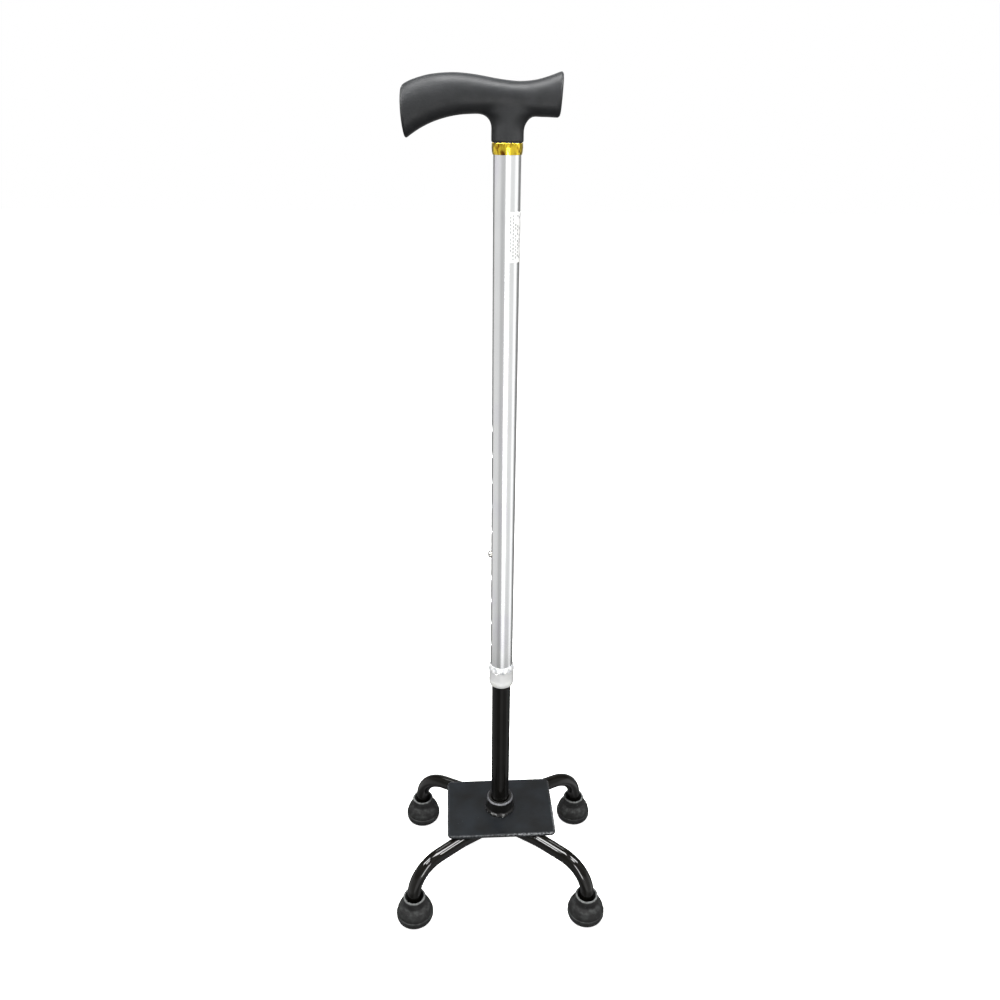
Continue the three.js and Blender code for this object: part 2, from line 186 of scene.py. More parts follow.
@dataclass(frozen=True)
class Finish:
    """What a surface is made of and how it was made. Each kind adds its own patterns in dress()."""

    name: str
    slot: Slot
    colour: str
    roughness: float
    metallic: float = 0.0
    ior: float = 1.5
    specular: float = 0.5

    made: ClassVar[dict[str, bpy.types.Material]] = {}

    def material(self) -> bpy.types.Material:
        """The finish as a material, made at its first use.

        Returns:
            The material.
        """
        if self.name not in self.made:
            material = bpy.data.materials.new(self.name)
            material.use_nodes = True
            tree = material.node_tree
            tree.nodes.clear()
            values = {
                "Base Color": linear(self.colour),
                "Roughness": self.roughness,
                "Metallic": self.metallic,
                "IOR": self.ior,
                "Specular IOR Level": self.specular,
            }
            shader = add_node(tree, "ShaderNodeBsdfPrincipled", values)
            add_node(tree, "ShaderNodeOutputMaterial", {"Surface": shader.outputs["BSDF"]})
            coords = add_node(tree, "ShaderNodeTexCoord").outputs["Object"]
            self.dress(tree, shader, coords)
            self.made[self.name] = material
        return self.made[self.name]

    def dress(self, tree: Tree, shader: Node, coords: Socket) -> None:
        """Adds the finish's own patterns, of which the plain finish has none."""

    def apply(
        self,
        tree: Tree,
        shader: Node,
        layers: Sequence[tuple[Socket, str]] = (),
        roughness: Socket | None = None,
        height: Socket | None = None,
        depth: float = 0.0,
    ) -> None:
        """Lays colours over the base colour, and joins the gloss and the relief to the surface.

        Args:
            tree: The material's node tree.
            shader: The surface shader.
            layers: How much each colour shows, as a socket, and the colour, from the lowest layer up.
            roughness: The roughness, as a socket.
            height: The relief from 0 to 1, as a socket.
            depth: The height of a 1, in millimetres.
        """
        colour: Any = linear(self.colour)
        for share, over in layers:
            values = {0: share, MIX_A: colour, MIX_B: linear(over)}
            colour = add_node(tree, "ShaderNodeMix", values, {"data_type": "RGBA"}).outputs[MIX_OUT]
        joins = {"Base Color": colour if layers else None, "Roughness": roughness}
        if height:
            bump = add_node(tree, "ShaderNodeBump", {"Height": height, "Distance": depth * MM})
            joins["Normal"] = bump.outputs["Normal"]
        for name, socket in joins.items():
            if socket:
                tree.links.new(socket, shader.inputs[name])


def cloud(
    tree: Tree,
    coords: Socket,
    size: float,
    low: float,
    high: float,
    detail: float = 2.0,
    stretch: float = 1.0,
) -> Socket:
    """A soft random value over a surface.

    Args:
        tree: The material's node tree.
        coords: The coordinates socket.
        size: The pattern's size, in millimetres.
        low: The value in the pattern's low places.
        high: The value in its high places.
        detail: How many finer layers it has.
        stretch: How many times longer its marks are along Z.

    Returns:
        The value's socket.
    """
    drawn_out = {"Vector": coords, "Scale": (1, 1, 1 / stretch)}
    combed = add_node(tree, "ShaderNodeMapping", drawn_out).outputs["Vector"]
    values = {"Vector": combed, "Scale": per_metre(size), "Detail": detail}
    noisy = add_node(tree, "ShaderNodeTexNoise", values).outputs["Fac"]
    spread = {"Value": noisy, "From Min": 0.3, "From Max": 0.7, "To Min": low, "To Max": high}
    return add_node(tree, "ShaderNodeMapRange", spread).outputs["Result"]


def times(tree: Tree, *factors: Socket) -> Socket:
    """Multiplies values, and takes none of them as less than 0.

    Args:
        tree: The material's node tree.
        factors: The values' sockets.

    Returns:
        The product's socket.
    """
    product: Any = 1.0
    for factor in factors:
        floored = {0: factor, 1: 0.0}
        kept = add_node(tree, "ShaderNodeMath", floored, {"operation": "MAXIMUM"}).outputs["Value"]
        both = {0: product, 1: kept}
        product = add_node(tree, "ShaderNodeMath", both, {"operation": "MULTIPLY"}).outputs["Value"]
    return product


@dataclass(frozen=True)
class SoftTouchPolypropylene(Finish):
    """Polypropylene moulded with a spark-eroded skin: a broad dull sheen, smoother where a palm rests."""

    grain: float = 0.8  # the real skin's grain is about 0.2 mm, drawn coarser so that it shows
    palm: float = 26.0
    rubbed: float = 0.44
    bloom: float = 9.0

    def dress(self, tree: Tree, shader: Node, coords: Socket) -> None:
        """Adds the grain, the palm's polish, a little grey bloom and a few motes.

        Args:
            tree: The material's node tree.
            shader: The surface shader.
            coords: The coordinates socket.
        """
        bloom = cloud(tree, coords, size=self.bloom, low=0.0, high=0.3, detail=4.0)
        motes = specks(tree, coords, spacing=5.0, size=0.4, share=0.15)
        polish = cloud(tree, coords, size=self.palm, low=self.rubbed, high=self.roughness)
        grain = cloud(tree, coords, size=self.grain, low=0.0, high=1.0, detail=1.0)
        layers = [(bloom, "#2c2d2f"), (motes, "#48494c")]
        self.apply(tree, shader, layers, roughness=polish, height=grain, depth=0.03)


@dataclass(frozen=True)
class GoldPlate(Finish):
    """Brass ring, pressed and gold plated: bright yellow, with painted brown reflections of dark
    surroundings.
    """

    ripple: float = 2.0  # the pressing left shallow dents about this wide
    blotch: float = 4.5
    # the colour of the painted reflections: brown where the gold would mirror something dark
    reflection_brown: str = "#7a4a10"

    def dress(self, tree: Tree, shader: Node, coords: Socket) -> None:
        """Adds the dents, brown blotches painted as reflections of dark surroundings, and small tarnish
        spots.

        Args:
            tree: The material's node tree.
            shader: The surface shader.
            coords: The coordinates socket.
        """
        # painted reflection: brown blotches stand for dark surroundings mirrored in the gold
        painted_reflection = cloud(tree, coords, size=self.blotch, low=-1.1, high=1.3, detail=4.0, stretch=1.5)
        spots = specks(tree, coords, spacing=1.6, size=0.5, share=0.2)
        dents = cloud(tree, coords, size=self.ripple, low=0.0, high=1.0, detail=1.0, stretch=2.5)
        layers = [(times(tree, painted_reflection), self.reflection_brown), (spots, "#b07a1c")]
        self.apply(tree, shader, layers, height=dents, depth=0.12)


@dataclass(frozen=True)
class AnodisedAluminium(Finish):
    """Drawn aluminium, satin etched and clear anodised: long soft bands of light, combed by draw lines."""

    line: float = 0.6  # real draw lines are about 0.1 mm apart, drawn coarser so that they show
    run: float = 200.0
    clouded: float = 45.0

    def dress(self, tree: Tree, shader: Node, coords: Socket) -> None:
        """Adds the draw lines, a cool and a violet bloom in the oxide, and fine handling marks.

        Args:
            tree: The material's node tree.
            shader: The surface shader.
            coords: The coordinates socket.
        """
        lines = cloud(tree, coords, size=self.line, low=0.0, high=1.0, detail=3.0, stretch=self.run)
        combed = {"Value": lines, "To Min": self.roughness - 0.04, "To Max": self.roughness + 0.05}
        gloss = add_node(tree, "ShaderNodeMapRange", combed).outputs["Result"]
        cool = cloud(tree, coords, size=self.clouded, low=0.0, high=0.7)
        violet = cloud(tree, coords, size=self.clouded * 0.7, low=-0.9, high=0.5, detail=3.0, stretch=3.0)
        marks = specks(tree, coords, spacing=11.0, size=0.7, share=0.3)
        layers = [(cool, "#d9dadb"), (times(tree, violet), "#cfcad9"), (marks, "#a9abae")]
        self.apply(tree, shader, layers, roughness=gloss, height=lines, depth=0.004)


@dataclass(frozen=True)
class LabelFilm(Finish):
    """White polypropylene film, printed in grey: flat and paper-like, with plain bars in place of print."""

    ink: str = "#8a8c8c"
    bar: float = 2.8  # a printed bar's length
    row: float = 2.3  # from one row of bars to the next
    gap: float = 0.2  # between two rows, as a share of a row
    fewer: float = -0.25  # below 0, fewer than half of the places hold a bar
    margin: float = 2.2
    size: Point2 = (24.0, 39.0)

    def dress(self, tree: Tree, shader: Node, coords: Socket) -> None:
        """Prints rows of plain bars inside the label's margin, along the tube.

        Args:
            tree: The material's node tree.
            shader: The surface shader.
            coords: The coordinates socket.
        """
        uv = add_node(tree, "ShaderNodeTexCoord").outputs["UV"]
        turn = {"Vector": uv, "Rotation": (0, 0, math.pi / 2)}
        rows = {
            "Vector": add_node(tree, "ShaderNodeMapping", turn).outputs["Vector"],
            "Scale": 1.0,
            "Color1": (1, 1, 1, 1),
            "Color2": (0, 0, 0, 1),
            "Mortar": (0, 0, 0, 1),
            "Mortar Size": self.row * self.gap,
            "Mortar Smooth": 0.0,
            "Bias": self.fewer,
            "Brick Width": self.bar,
            "Row Height": self.row,
        }
        bars = add_node(tree, "ShaderNodeTexBrick", rows).outputs["Color"]
        halfway = {0: bars, 1: 0.5}
        inked = add_node(tree, "ShaderNodeMath", halfway, {"operation": "GREATER_THAN"}).outputs["Value"]
        place = add_node(tree, "ShaderNodeSeparateXYZ", {"Vector": uv})
        within = []
        for axis, length in zip(("X", "Y"), self.size):
            middle = {0: place.outputs[axis], 1: length / 2, 2: length / 2 - self.margin}
            within.append(add_node(tree, "ShaderNodeMath", middle, {"operation": "COMPARE"}).outputs["Value"])
        uneven = cloud(tree, coords, size=2.5, low=0.5, high=0.9)
        yellowed = cloud(tree, coords, size=7.0, low=0.0, high=0.5)
        self.apply(tree, shader, [(yellowed, "#f3f3ef"), (times(tree, inked, *within, uneven), self.ink)])


@dataclass(frozen=True)
class MilkyNylon(Finish):
    """Unpigmented nylon, moulded thick: milky, warmer at its foot, with shade painted on its lip.

    Attributes:
        warm: The foot's colour.
        shadow: The lip's painted shade, which stands for the tube seen through the nylon.
        foot: The foot's height in the frame, in metres.
        head: The height, in metres, at which the warm colour has faded.
        seam: The height of the groove under the lip, in metres.
    """

    warm: str = "#fbfbf6"
    shadow: str = "#a2a5a8"
    foot: float = 0.0
    head: float = 0.0
    seam: float = 0.0

    def dress(self, tree: Tree, shader: Node, coords: Socket) -> None:
        """Adds the light inside the nylon, its glossy skin and flow marks, the paler foot and painted shade
        on the lip.

        Args:
            tree: The material's node tree.
            shader: The surface shader.
            coords: The coordinates socket.
        """
        skin = {
            "Coat Weight": 0.7,
            "Coat Roughness": 0.08,
            "Subsurface Weight": 0.3,
            "Subsurface Radius": (1.0, 1.0, 0.9),
            "Subsurface Scale": 1.2 * MM,
        }
        for name, value in skin.items():
            shader.inputs[name].default_value = value
        height = add_node(tree, "ShaderNodeSeparateXYZ", {"Vector": coords}).outputs["Z"]
        fade = {"Value": height, "From Min": self.head, "From Max": self.foot}
        low = add_node(tree, "ShaderNodeMapRange", fade).outputs["Result"]
        above = {"Value": height, "From Min": self.seam, "From Max": self.seam + 0.6 * MM}
        lip = add_node(tree, "ShaderNodeMapRange", above).outputs["Result"]
        # painted shade: the lip is greyed where the dark tube would show through the milky nylon
        clear = times(tree, lip, cloud(tree, coords, size=5.0, low=-0.3, high=1.1))
        flow = cloud(tree, coords, size=3.5, low=0.0, high=0.5, detail=3.0)
        waves = cloud(tree, coords, size=1.6, low=0.0, high=1.0)
        layers = [(low, self.warm), (flow, "#dfe1df"), (clear, self.shadow)]
        self.apply(tree, shader, layers, height=waves, depth=0.03)


@dataclass(frozen=True)
class NaturalNylon(Finish):
    """Natural nylon bushes, moulded: off-white, waxy, with faint flow marks."""

    def dress(self, tree: Tree, shader: Node, coords: Socket) -> None:
        """Adds the waxy depth and the flow marks.

        Args:
            tree: The material's node tree.
            shader: The surface shader.
            coords: The coordinates socket.
        """
        shader.inputs["Subsurface Weight"].default_value = 0.15
        shader.inputs["Subsurface Scale"].default_value = 0.8 * MM
        flow = cloud(tree, coords, size=4.0, low=0.0, high=0.6, detail=3.0)
        skin = cloud(tree, coords, size=0.8, low=0.0, high=1.0)
        self.apply(tree, shader, [(flow, "#d6d2c4")], height=skin, depth=0.01)


@dataclass(frozen=True)
class BlackEnamel(Finish):
    """Steel in black enamel: deep gloss, crisp streaks, slight orange peel, dust, and worn rims with painted
    highlights.
    """

    peel: float = 2.6
    # bare steel, also the colour of the collar's painted highlights
    bare: str = "#77787c"

    def dress(self, tree: Tree, shader: Node, coords: Socket) -> None:
        """Adds the orange peel, hazy patches, dust and the worn rims, with the collar's painted highlights.

        Args:
            tree: The material's node tree.
            shader: The surface shader.
            coords: The coordinates socket.
        """
        haze = cloud(tree, coords, size=16.0, low=self.roughness * 0.6, high=self.roughness * 1.6, detail=4.0)
        grime = cloud(tree, coords, size=11.0, low=0.0, high=0.5, detail=4.0)
        motes = specks(tree, coords, spacing=5.0, size=0.45, share=0.2)
        rubbed = add_node(tree, "ShaderNodeAttribute", settings={"attribute_name": WEAR_AND_HIGHLIGHT}).outputs["Fac"]
        # wear read from the mesh: on the collar it also holds a painted highlight on the rim and painted
        # highlight specks on the weld
        worn = times(tree, rubbed, cloud(tree, coords, size=1.4, low=0.3, high=1.2, detail=3.0))
        peel = cloud(tree, coords, size=self.peel, low=0.0, high=1.0, detail=1.0)
        layers = [(grime, "#1a1915"), (motes, "#5f5e59"), (worn, self.bare)]
        self.apply(tree, shader, layers, roughness=haze, height=peel, depth=0.008)


@dataclass(frozen=True)
class SatinPowderCoat(Finish):
    """Steel in satin black powder coat: soft and mottled, with grit in it and edges worn to the steel."""

    peel: float = 1.1
    mottle: float = 13.0
    bare: str = "#8f9193"

    def dress(self, tree: Tree, shader: Node, coords: Socket) -> None:
        """Adds the mottling, the orange peel, the grit and the worn edges.

        Args:
            tree: The material's node tree.
            shader: The surface shader.
            coords: The coordinates socket.
        """
        low, high = self.roughness - 0.09, self.roughness + 0.1
        sheen = cloud(tree, coords, size=self.mottle, low=low, high=high, detail=4.0)
        patch = cloud(tree, coords, size=self.mottle * 1.7, low=0.0, high=1.0, detail=5.0)
        grit = specks(tree, coords, spacing=4.2, size=0.6, share=0.2)
        rubbed = add_node(tree, "ShaderNodeAttribute", settings={"attribute_name": WEAR_AND_HIGHLIGHT}).outputs["Fac"]
        worn = times(tree, rubbed, cloud(tree, coords, size=2.2, low=-0.3, high=1.4, detail=4.0))
        peel = cloud(tree, coords, size=self.peel, low=0.0, high=1.0, detail=1.0)
        layers = [(patch, "#15191d"), (grit, "#4a4d52"), (worn, self.bare)]
        self.apply(tree, shader, layers, roughness=sheen, height=peel, depth=0.02)


@dataclass(frozen=True)
class MouldedRubber(Finish):
    """EPDM rubber, moulded: dull black with a fine grain, grey with floor dust in patches and on top."""

    grain: float = 0.9  # the real grain is about 0.3 mm, drawn coarser so that it shows
    dust: str = "#343635"
    patch: float = 6.0

    def dress(self, tree: Tree, shader: Node, coords: Socket) -> None:
        """Adds the grain, the dusty patches and the scuffs.

        Args:
            tree: The material's node tree.
            shader: The surface shader.
            coords: The coordinates socket.
        """
        facing = add_node(tree, "ShaderNodeNewGeometry").outputs["Normal"]
        upward = add_node(tree, "ShaderNodeSeparateXYZ", {"Vector": facing}).outputs["Z"]
        lies = {"Value": upward, "From Min": -0.1, "From Max": 0.9, "To Min": 0.35, "To Max": 0.9}
        settles = add_node(tree, "ShaderNodeMapRange", lies).outputs["Result"]
        dusty = times(tree, settles, cloud(tree, coords, size=self.patch, low=-0.5, high=1.0, detail=5.0))
        scuffs = specks(tree, coords, spacing=3.4, size=0.6, share=0.2)
        rubbed = add_node(tree, "ShaderNodeAttribute", settings={"attribute_name": WEAR_AND_HIGHLIGHT}).outputs["Fac"]
        lip = times(tree, rubbed, cloud(tree, coords, size=3.0, low=0.3, high=1.1, detail=3.0))
        grain = cloud(tree, coords, size=self.grain, low=0.0, high=1.0)
        layers = [(dusty, self.dust), (scuffs, "#5a5c5b"), (lip, "#6e706f")]
        self.apply(tree, shader, layers, height=grain, depth=0.05)


@dataclass(frozen=True)
class ZincPlate(Finish):
    """Zinc-plated steel, clear passivated: grey metal with a faint straw and blue cast, lightly spangled."""

    def dress(self, tree: Tree, shader: Node, coords: Socket) -> None:
        """Adds the two casts of the passivation and a fine unevenness.

        Args:
            tree: The material's node tree.
            shader: The surface shader.
            coords: The coordinates socket.
        """
        straw = cloud(tree, coords, size=3.0, low=0.0, high=0.7, detail=3.0)
        blue = cloud(tree, coords, size=4.6, low=0.0, high=0.6, detail=3.0)
        low, high = self.roughness - 0.08, self.roughness + 0.12
        dull = cloud(tree, coords, size=1.8, low=low, high=high, detail=4.0)
        self.apply(tree, shader, [(straw, "#c8c2a6"), (blue, "#a9b3c2")], roughness=dull)


@dataclass(frozen=True)
class NickelPlate(Finish):
    """Nickel-plated brass, turned and polished: a warm mirror with hair-fine scratches."""

    scratch: float = 0.5

    def dress(self, tree: Tree, shader: Node, coords: Socket) -> None:
        """Adds the scratches' dullness.

        Args:
            tree: The material's node tree.
            shader: The surface shader.
            coords: The coordinates socket.
        """
        low, high = self.roughness - 0.05, self.roughness + 0.12
        dull = cloud(tree, coords, size=self.scratch, low=low, high=high, detail=5.0)
        self.apply(tree, shader, roughness=dull)


@dataclass(frozen=True)
class SpringSteel(Finish):
    """Hardened steel strip, cold rolled and blued slightly: grey with rolling lines along its length."""

    line: float = 0.3
    heat: float = 12.0

    def dress(self, tree: Tree, shader: Node, coords: Socket) -> None:
        """Adds the rolling lines and the heat tint.

        Args:
            tree: The material's node tree.
            shader: The surface shader.
            coords: The coordinates socket.
        """
        low, high = self.roughness - 0.08, self.roughness + 0.1
        lines = cloud(tree, coords, size=self.line, low=low, high=high, detail=3.0, stretch=50.0)
        tint = cloud(tree, coords, size=self.heat, low=0.0, high=0.6)
        self.apply(tree, shader, [(tint, "#7e7b8c")], roughness=lines)


SKIN = SoftTouchPolypropylene("soft_touch_polypropylene", Slot.GRIP, "#121416", 0.6, specular=0.2)
GOLD = GoldPlate("gold_plate", Slot.GOLD, "#dcc038", 0.16, metallic=1.0)
SILVER = AnodisedAluminium("anodised_aluminium", Slot.ANODISED, "#e2e3e3", 0.2, metallic=1.0)
FILM = LabelFilm("printed_label_film", Slot.LABEL, "#fbfbfa", 0.45)
NYLON = NaturalNylon("natural_nylon", Slot.NYLON, "#e6e4dc", 0.45, ior=1.53)
ENAMEL = BlackEnamel("stoved_black_enamel", Slot.BLACK_GLOSS, "#0b0a08", 0.07, specular=0.25)
# The collar is painted by brush once it is welded on, so its enamel is duller, with a coarser orange peel.
BRUSHED = BlackEnamel("brushed_black_enamel", Slot.BLACK_GLOSS, "#0c0c0d", 0.27, specular=0.25, peel=3.4)
POWDER = SatinPowderCoat("satin_powder_coat", Slot.BLACK_SATIN, "#0b0c0d", 0.4, specular=0.15)
RUBBER = MouldedRubber("moulded_epdm_rubber", Slot.RUBBER, "#0c0c0c", 0.8, ior=1.52, specular=0.2)
ZINC = ZincPlate("passivated_zinc_plate", Slot.ZINC, "#b9bcbe", 0.32, metallic=1.0)
NICKEL = NickelPlate("polished_nickel_plate", Slot.ZINC, "#b0aea8", 0.14, metallic=1.0)
SPRING = SpringSteel("rolled_spring_steel", Slot.SPRING_STEEL, "#8d9196", 0.28, metallic=1.0)


# ---------------------------------------------------------------- mesh code


def box_mm(node: str) -> tuple[Vector, Vector]:
    """A CAD node's lowest and highest corners, in millimetres."""
    low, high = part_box(node)
    return low / MM, high / MM


def radius_mm(node: str) -> float:
    """Half of a round CAD node's width across X, in millimetres."""
    low, high = box_mm(node)
    return (high.x - low.x) / 2


def middle_mm(node: str) -> Vector:
    """The middle of a CAD node's box, in millimetres."""
    low, high = box_mm(node)
    return (low + high) / 2


def filleted(corners: Sequence[tuple[float, ...]], closed: bool = True, step: float = 18) -> list[Point2]:
    """Rounds the corners of an outline.

    Args:
        corners: The outline's corners, each with a fillet radius as a third number where it is rounded.
        closed: Whether the last corner joins the first.
        step: The most that a fillet turns between two of its points, in degrees.

    Returns:
        The outline's points.
    """
    points: list[Point2] = []
    count = len(corners)
    for i, (x, y, *rest) in enumerate(corners):
        radius = rest[0] if rest else 0.0
        if not radius or (not closed and i in (0, count - 1)):
            points.append((x, y))
            continue
        here = Vector((x, y))
        back = Vector(corners[i - 1][:2]) - here
        ahead = Vector(corners[(i + 1) % count][:2]) - here
        turn = math.pi - back.angle(ahead)
        reach = min(radius * math.tan(turn / 2), back.length * 0.49, ahead.length * 0.49)
        radius = reach / math.tan(turn / 2)
        start, end = here + back.normalized() * reach, here + ahead.normalized() * reach
        bisector = (back.normalized() + ahead.normalized()).normalized()
        centre = here + bisector * (radius / math.cos(turn / 2))
        steps = max(2, math.ceil(math.degrees(turn) / step))
        for k in range(steps + 1):
            arm = (start - centre).slerp(end - centre, k / steps).normalized() * radius
            points.append(tuple(centre + arm))
    return points


def smooth_through(points: Sequence[Point2], steps: int) -> list[Point2]:
    """Draws a smooth curve through a few points.

    Args:
        points: The points that it passes.
        steps: How many parts it has between two of them.

    Returns:
        The curve's points.
    """
    ends = [points[0], *points, points[-1]]
    curve: list[Point2] = []
    for a, b, c, d in zip(ends, ends[1:], ends[2:], ends[3:]):
        for k in range(steps):
            t = k / steps
            place = []
            for p, q, r, s in zip(a, b, c, d):
                bend = (2 * p - 5 * q + 4 * r - s) * t**2 + (3 * q - p - 3 * r + s) * t**3
                place.append(0.5 * (2 * q + (r - p) * t + bend))
            curve.append(tuple(place))
    return [*curve, points[-1]]


def height_at(curve: Sequence[Point2], x: float) -> float:
    """Reads a curve's height at an x, by straight parts between its points.

    Args:
        curve: The curve's points, from the lowest x up.
        x: Where to read it.

    Returns:
        The height there.
    """
    for (x0, y0), (x1, y1) in zip(curve, curve[1:]):
        if x <= x1:
            return y0 + (y1 - y0) * (x - x0) / (x1 - x0)
    return curve[-1][1]


def object_from(name: str, bm: bmesh.types.BMesh) -> bpy.types.Object:
    """Turns a bmesh in millimetres into an object in the frame.

    Args:
        name: The piece's name.
        bm: The shape, which is freed.

    Returns:
        The new object.
    """
    bmesh.ops.remove_doubles(bm, verts=bm.verts, dist=1e-4)
    bmesh.ops.recalc_face_normals(bm, faces=bm.faces)
    bmesh.ops.scale(bm, vec=(MM, MM, MM), verts=bm.verts)
    mesh = bpy.data.meshes.new(name)
    bm.to_mesh(mesh)
    bm.free()
    obj = bpy.data.objects.new(name, mesh)
    bpy.context.scene.collection.objects.link(obj)
    return obj


def settle(obj: bpy.types.Object) -> None:
    """Replaces an object's mesh with what its modifiers make of it.

    Args:
        obj: The object, which is left with no modifier.
    """
    graph = bpy.context.evaluated_depsgraph_get()
    final = obj.evaluated_get(graph)
    shaped = bpy.data.meshes.new_from_object(final, preserve_all_data_layers=True, depsgraph=graph)
    obj.modifiers.clear()
    obj.data = shaped


def shade(obj: bpy.types.Object, sharp: float = 38.0) -> bpy.types.Object:
    """Shades a piece smoothly, with its broad faces kept flat and its sharp edges crisp.

    Args:
        obj: The piece.
        sharp: The angle from which an edge stays crisp, in degrees.

    Returns:
        The same piece.
    """
    obj.data.shade_smooth()
    obj.data.set_sharp_from_angle(angle=math.radians(sharp))
    weighted = obj.modifiers.new("broad_faces", "WEIGHTED_NORMAL")
    weighted.keep_sharp = True
    weighted.weight = 60
    settle(obj)
    return obj


def revolve(
    name: str,
    profile: Sequence[Point2],
    sides: int = 96,
    mould: Mould | None = None,
    axis: Matrix | None = None,
) -> bpy.types.Object:
    """Turns a profile about the Z axis.

    Args:
        name: The piece's name.
        profile: Radius and height of each point. It starts and ends on the axis, or closes on itself.
        sides: How many sides the round has.
        mould: What a point's radius and height become, given them and its bearing.
        axis: Where the turned shape is moved to.

    Returns:
        The shaded piece.
    """
    bm = bmesh.new()
    rings = []
    for r, z in profile:
        if r < 1e-6:
            rings.append([bm.verts.new((0, 0, z))] * sides)
            continue
        ring = []
        for i in range(sides):
            bearing = FULL_TURN * i / sides
            out, up = mould(r, z, bearing) if mould else (r, z)
            ring.append(bm.verts.new((out * math.cos(bearing), out * math.sin(bearing), up)))
        rings.append(ring)
    pairs = list(zip(rings, rings[1:]))
    if profile[0][0] > 1e-6:
        pairs.append((rings[-1], rings[0]))
    for low, high in pairs:
        for i in range(sides):
            j = (i + 1) % sides
            corners = list(dict.fromkeys([low[i], low[j], high[j], high[i]]))
            if len(corners) > 2:
                bm.faces.new(corners)
    if axis:
        bmesh.ops.transform(bm, matrix=axis, verts=bm.verts)
    return shade(object_from(name, bm))


def skin_rings(bm: bmesh.types.BMesh, rings: Sequence[Sequence[Vector]]) -> None:
    """Skins rings of points, each with the same count, into a closed body with flat ends.

    Args:
        bm: Where the body is made.
        rings: The rings, from end to end.
    """
    made = [[bm.verts.new(p) for p in ring] for ring in rings]
    for low, high in zip(made, made[1:]):
        for i in range(len(low)):
            j = (i + 1) % len(low)
            bm.faces.new((low[i], low[j], high[j], high[i]))
    bm.faces.new(made[0][::-1])
    bm.faces.new(made[-1])


def bent_path(vertices: Sequence[Vector], radii: Sequence[float], step: float = 5.0) -> list[Vector]:
    """Straight runs with each inner corner rounded to a bend.

    Args:
        vertices: The path's ends and corners.
        radii: Each corner's bend radius.
        step: The most that a bend turns between two of its points, in degrees.

    Returns:
        The path's points.
    """
    path = [vertices[0]]
    for i, radius in enumerate(radii):
        before, corner, after = vertices[i : i + 3]
        along, away = (corner - before).normalized(), (after - corner).normalized()
        turn = along.angle(away)
        inward = (away - along * math.cos(turn)).normalized()
        start = corner - along * (radius * math.tan(turn / 2))
        centre = start + inward * radius
        steps = max(2, math.ceil(math.degrees(turn) / step))
        for k in range(steps + 1):
            angle = turn * k / steps
            path.append(centre - inward * (radius * math.cos(angle)) + along * (radius * math.sin(angle)))
    return [*path, vertices[-1]]


def spaced(path: Sequence[Vector], most: float) -> list[Vector]:
    """Adds points to a path wherever two of them lie too far apart.

    Args:
        path: The path's points.
        most: The furthest that two of them may lie apart.

    Returns:
        The path with its new points.
    """
    points = [path[0]]
    for a, b in zip(path, path[1:]):
        parts = max(1, math.ceil((b - a).length / most))
        points.extend(a.lerp(b, k / parts) for k in range(1, parts + 1))
    return points


def sweep_rings(path: Sequence[Vector], radius: Callable[[int, float], float], sides: int) -> list[Points]:
    """Places rings along a path without twisting.

    Args:
        path: The centreline.
        radius: The radius at a point's number and a bearing round the section.
        sides: How many points a ring has.

    Returns:
        A ring of points at each point of the path.
    """
    rings = []
    side = None
    for i, point in enumerate(path):
        before, after = path[max(0, i - 1)], path[min(len(path) - 1, i + 1)]
        along = (after - before).normalized()
        across = along.orthogonal() if side is None else side - along * side.dot(along)
        side = across.normalized()
        other = along.cross(side)
        ring = []
        for k in range(sides):
            bearing = FULL_TURN * k / sides
            arm = side * math.cos(bearing) + other * math.sin(bearing)
            ring.append(point + arm * radius(i, bearing))
        rings.append(ring)
    return rings


def hollow_sweep(bm: bmesh.types.BMesh, path: Points, outer: float, inner: float, sides: int) -> None:
    """Makes a round tube with open ends along a path.

    Args:
        bm: Where the tube is made.
        path: Its centreline.
        outer: Its outer radius.
        inner: Its bore's radius.
        sides: How many sides its section has.
    """
    skins = []
    for radius in (outer, inner):
        rings = sweep_rings(path, lambda i, bearing, r=radius: r, sides)
        skins.append([[bm.verts.new(p) for p in ring] for ring in rings])
    for rings in skins:
        for low, high in zip(rings, rings[1:]):
            for i in range(sides):
                j = (i + 1) % sides
                bm.faces.new((low[i], low[j], high[j], high[i]))
    for end in (0, -1):
        outside, inside = skins[0][end], skins[1][end]
        for i in range(sides):
            j = (i + 1) % sides
            bm.faces.new((outside[i], outside[j], inside[j], inside[i]))


def weld_bead(name: str, path: Sequence[Vector], size: float, pitch: float, seed: int) -> bpy.types.Object:
    """Lays a weld bead: a rope of overlapping puddles along a path.

    Args:
        name: The piece's name.
        path: The bead's centreline.
        size: Its radius.
        pitch: The distance from one puddle to the next.
        seed: What its unevenness starts from.

    Returns:
        The shaded piece.
    """
    points = spaced(path, pitch / 5)
    closed_end = 0.15
    lengths = [0.0]
    for a, b in zip(points, points[1:]):
        lengths.append(lengths[-1] + (b - a).length)

    def radius(i: int, bearing: float) -> float:
        """Gives the bead's thickness: fuller in a puddle's middle, and closing at its ends.

        Args:
            i: The number of the path's point.
            bearing: Where round the section, which changes nothing.

        Returns:
            The radius there.
        """
        phase = (lengths[i] / pitch) % 1.0
        puddle = 0.82 + 0.22 * math.sqrt(max(0.0, 1 - (2 * phase - 1) ** 2))
        lump = noise.noise(points[i] / (3 * size) + Vector((seed, 0, 0)))
        from_end = min(lengths[i], lengths[-1] - lengths[i])
        close = min(1.0, math.sqrt(from_end / size)) if from_end > 0 else closed_end
        return size * max(closed_end, close) * (puddle + 0.3 * lump)

    bm = bmesh.new()
    skin_rings(bm, sweep_rings(points, radius, sides=14))
    return shade(object_from(name, bm), sharp=60)


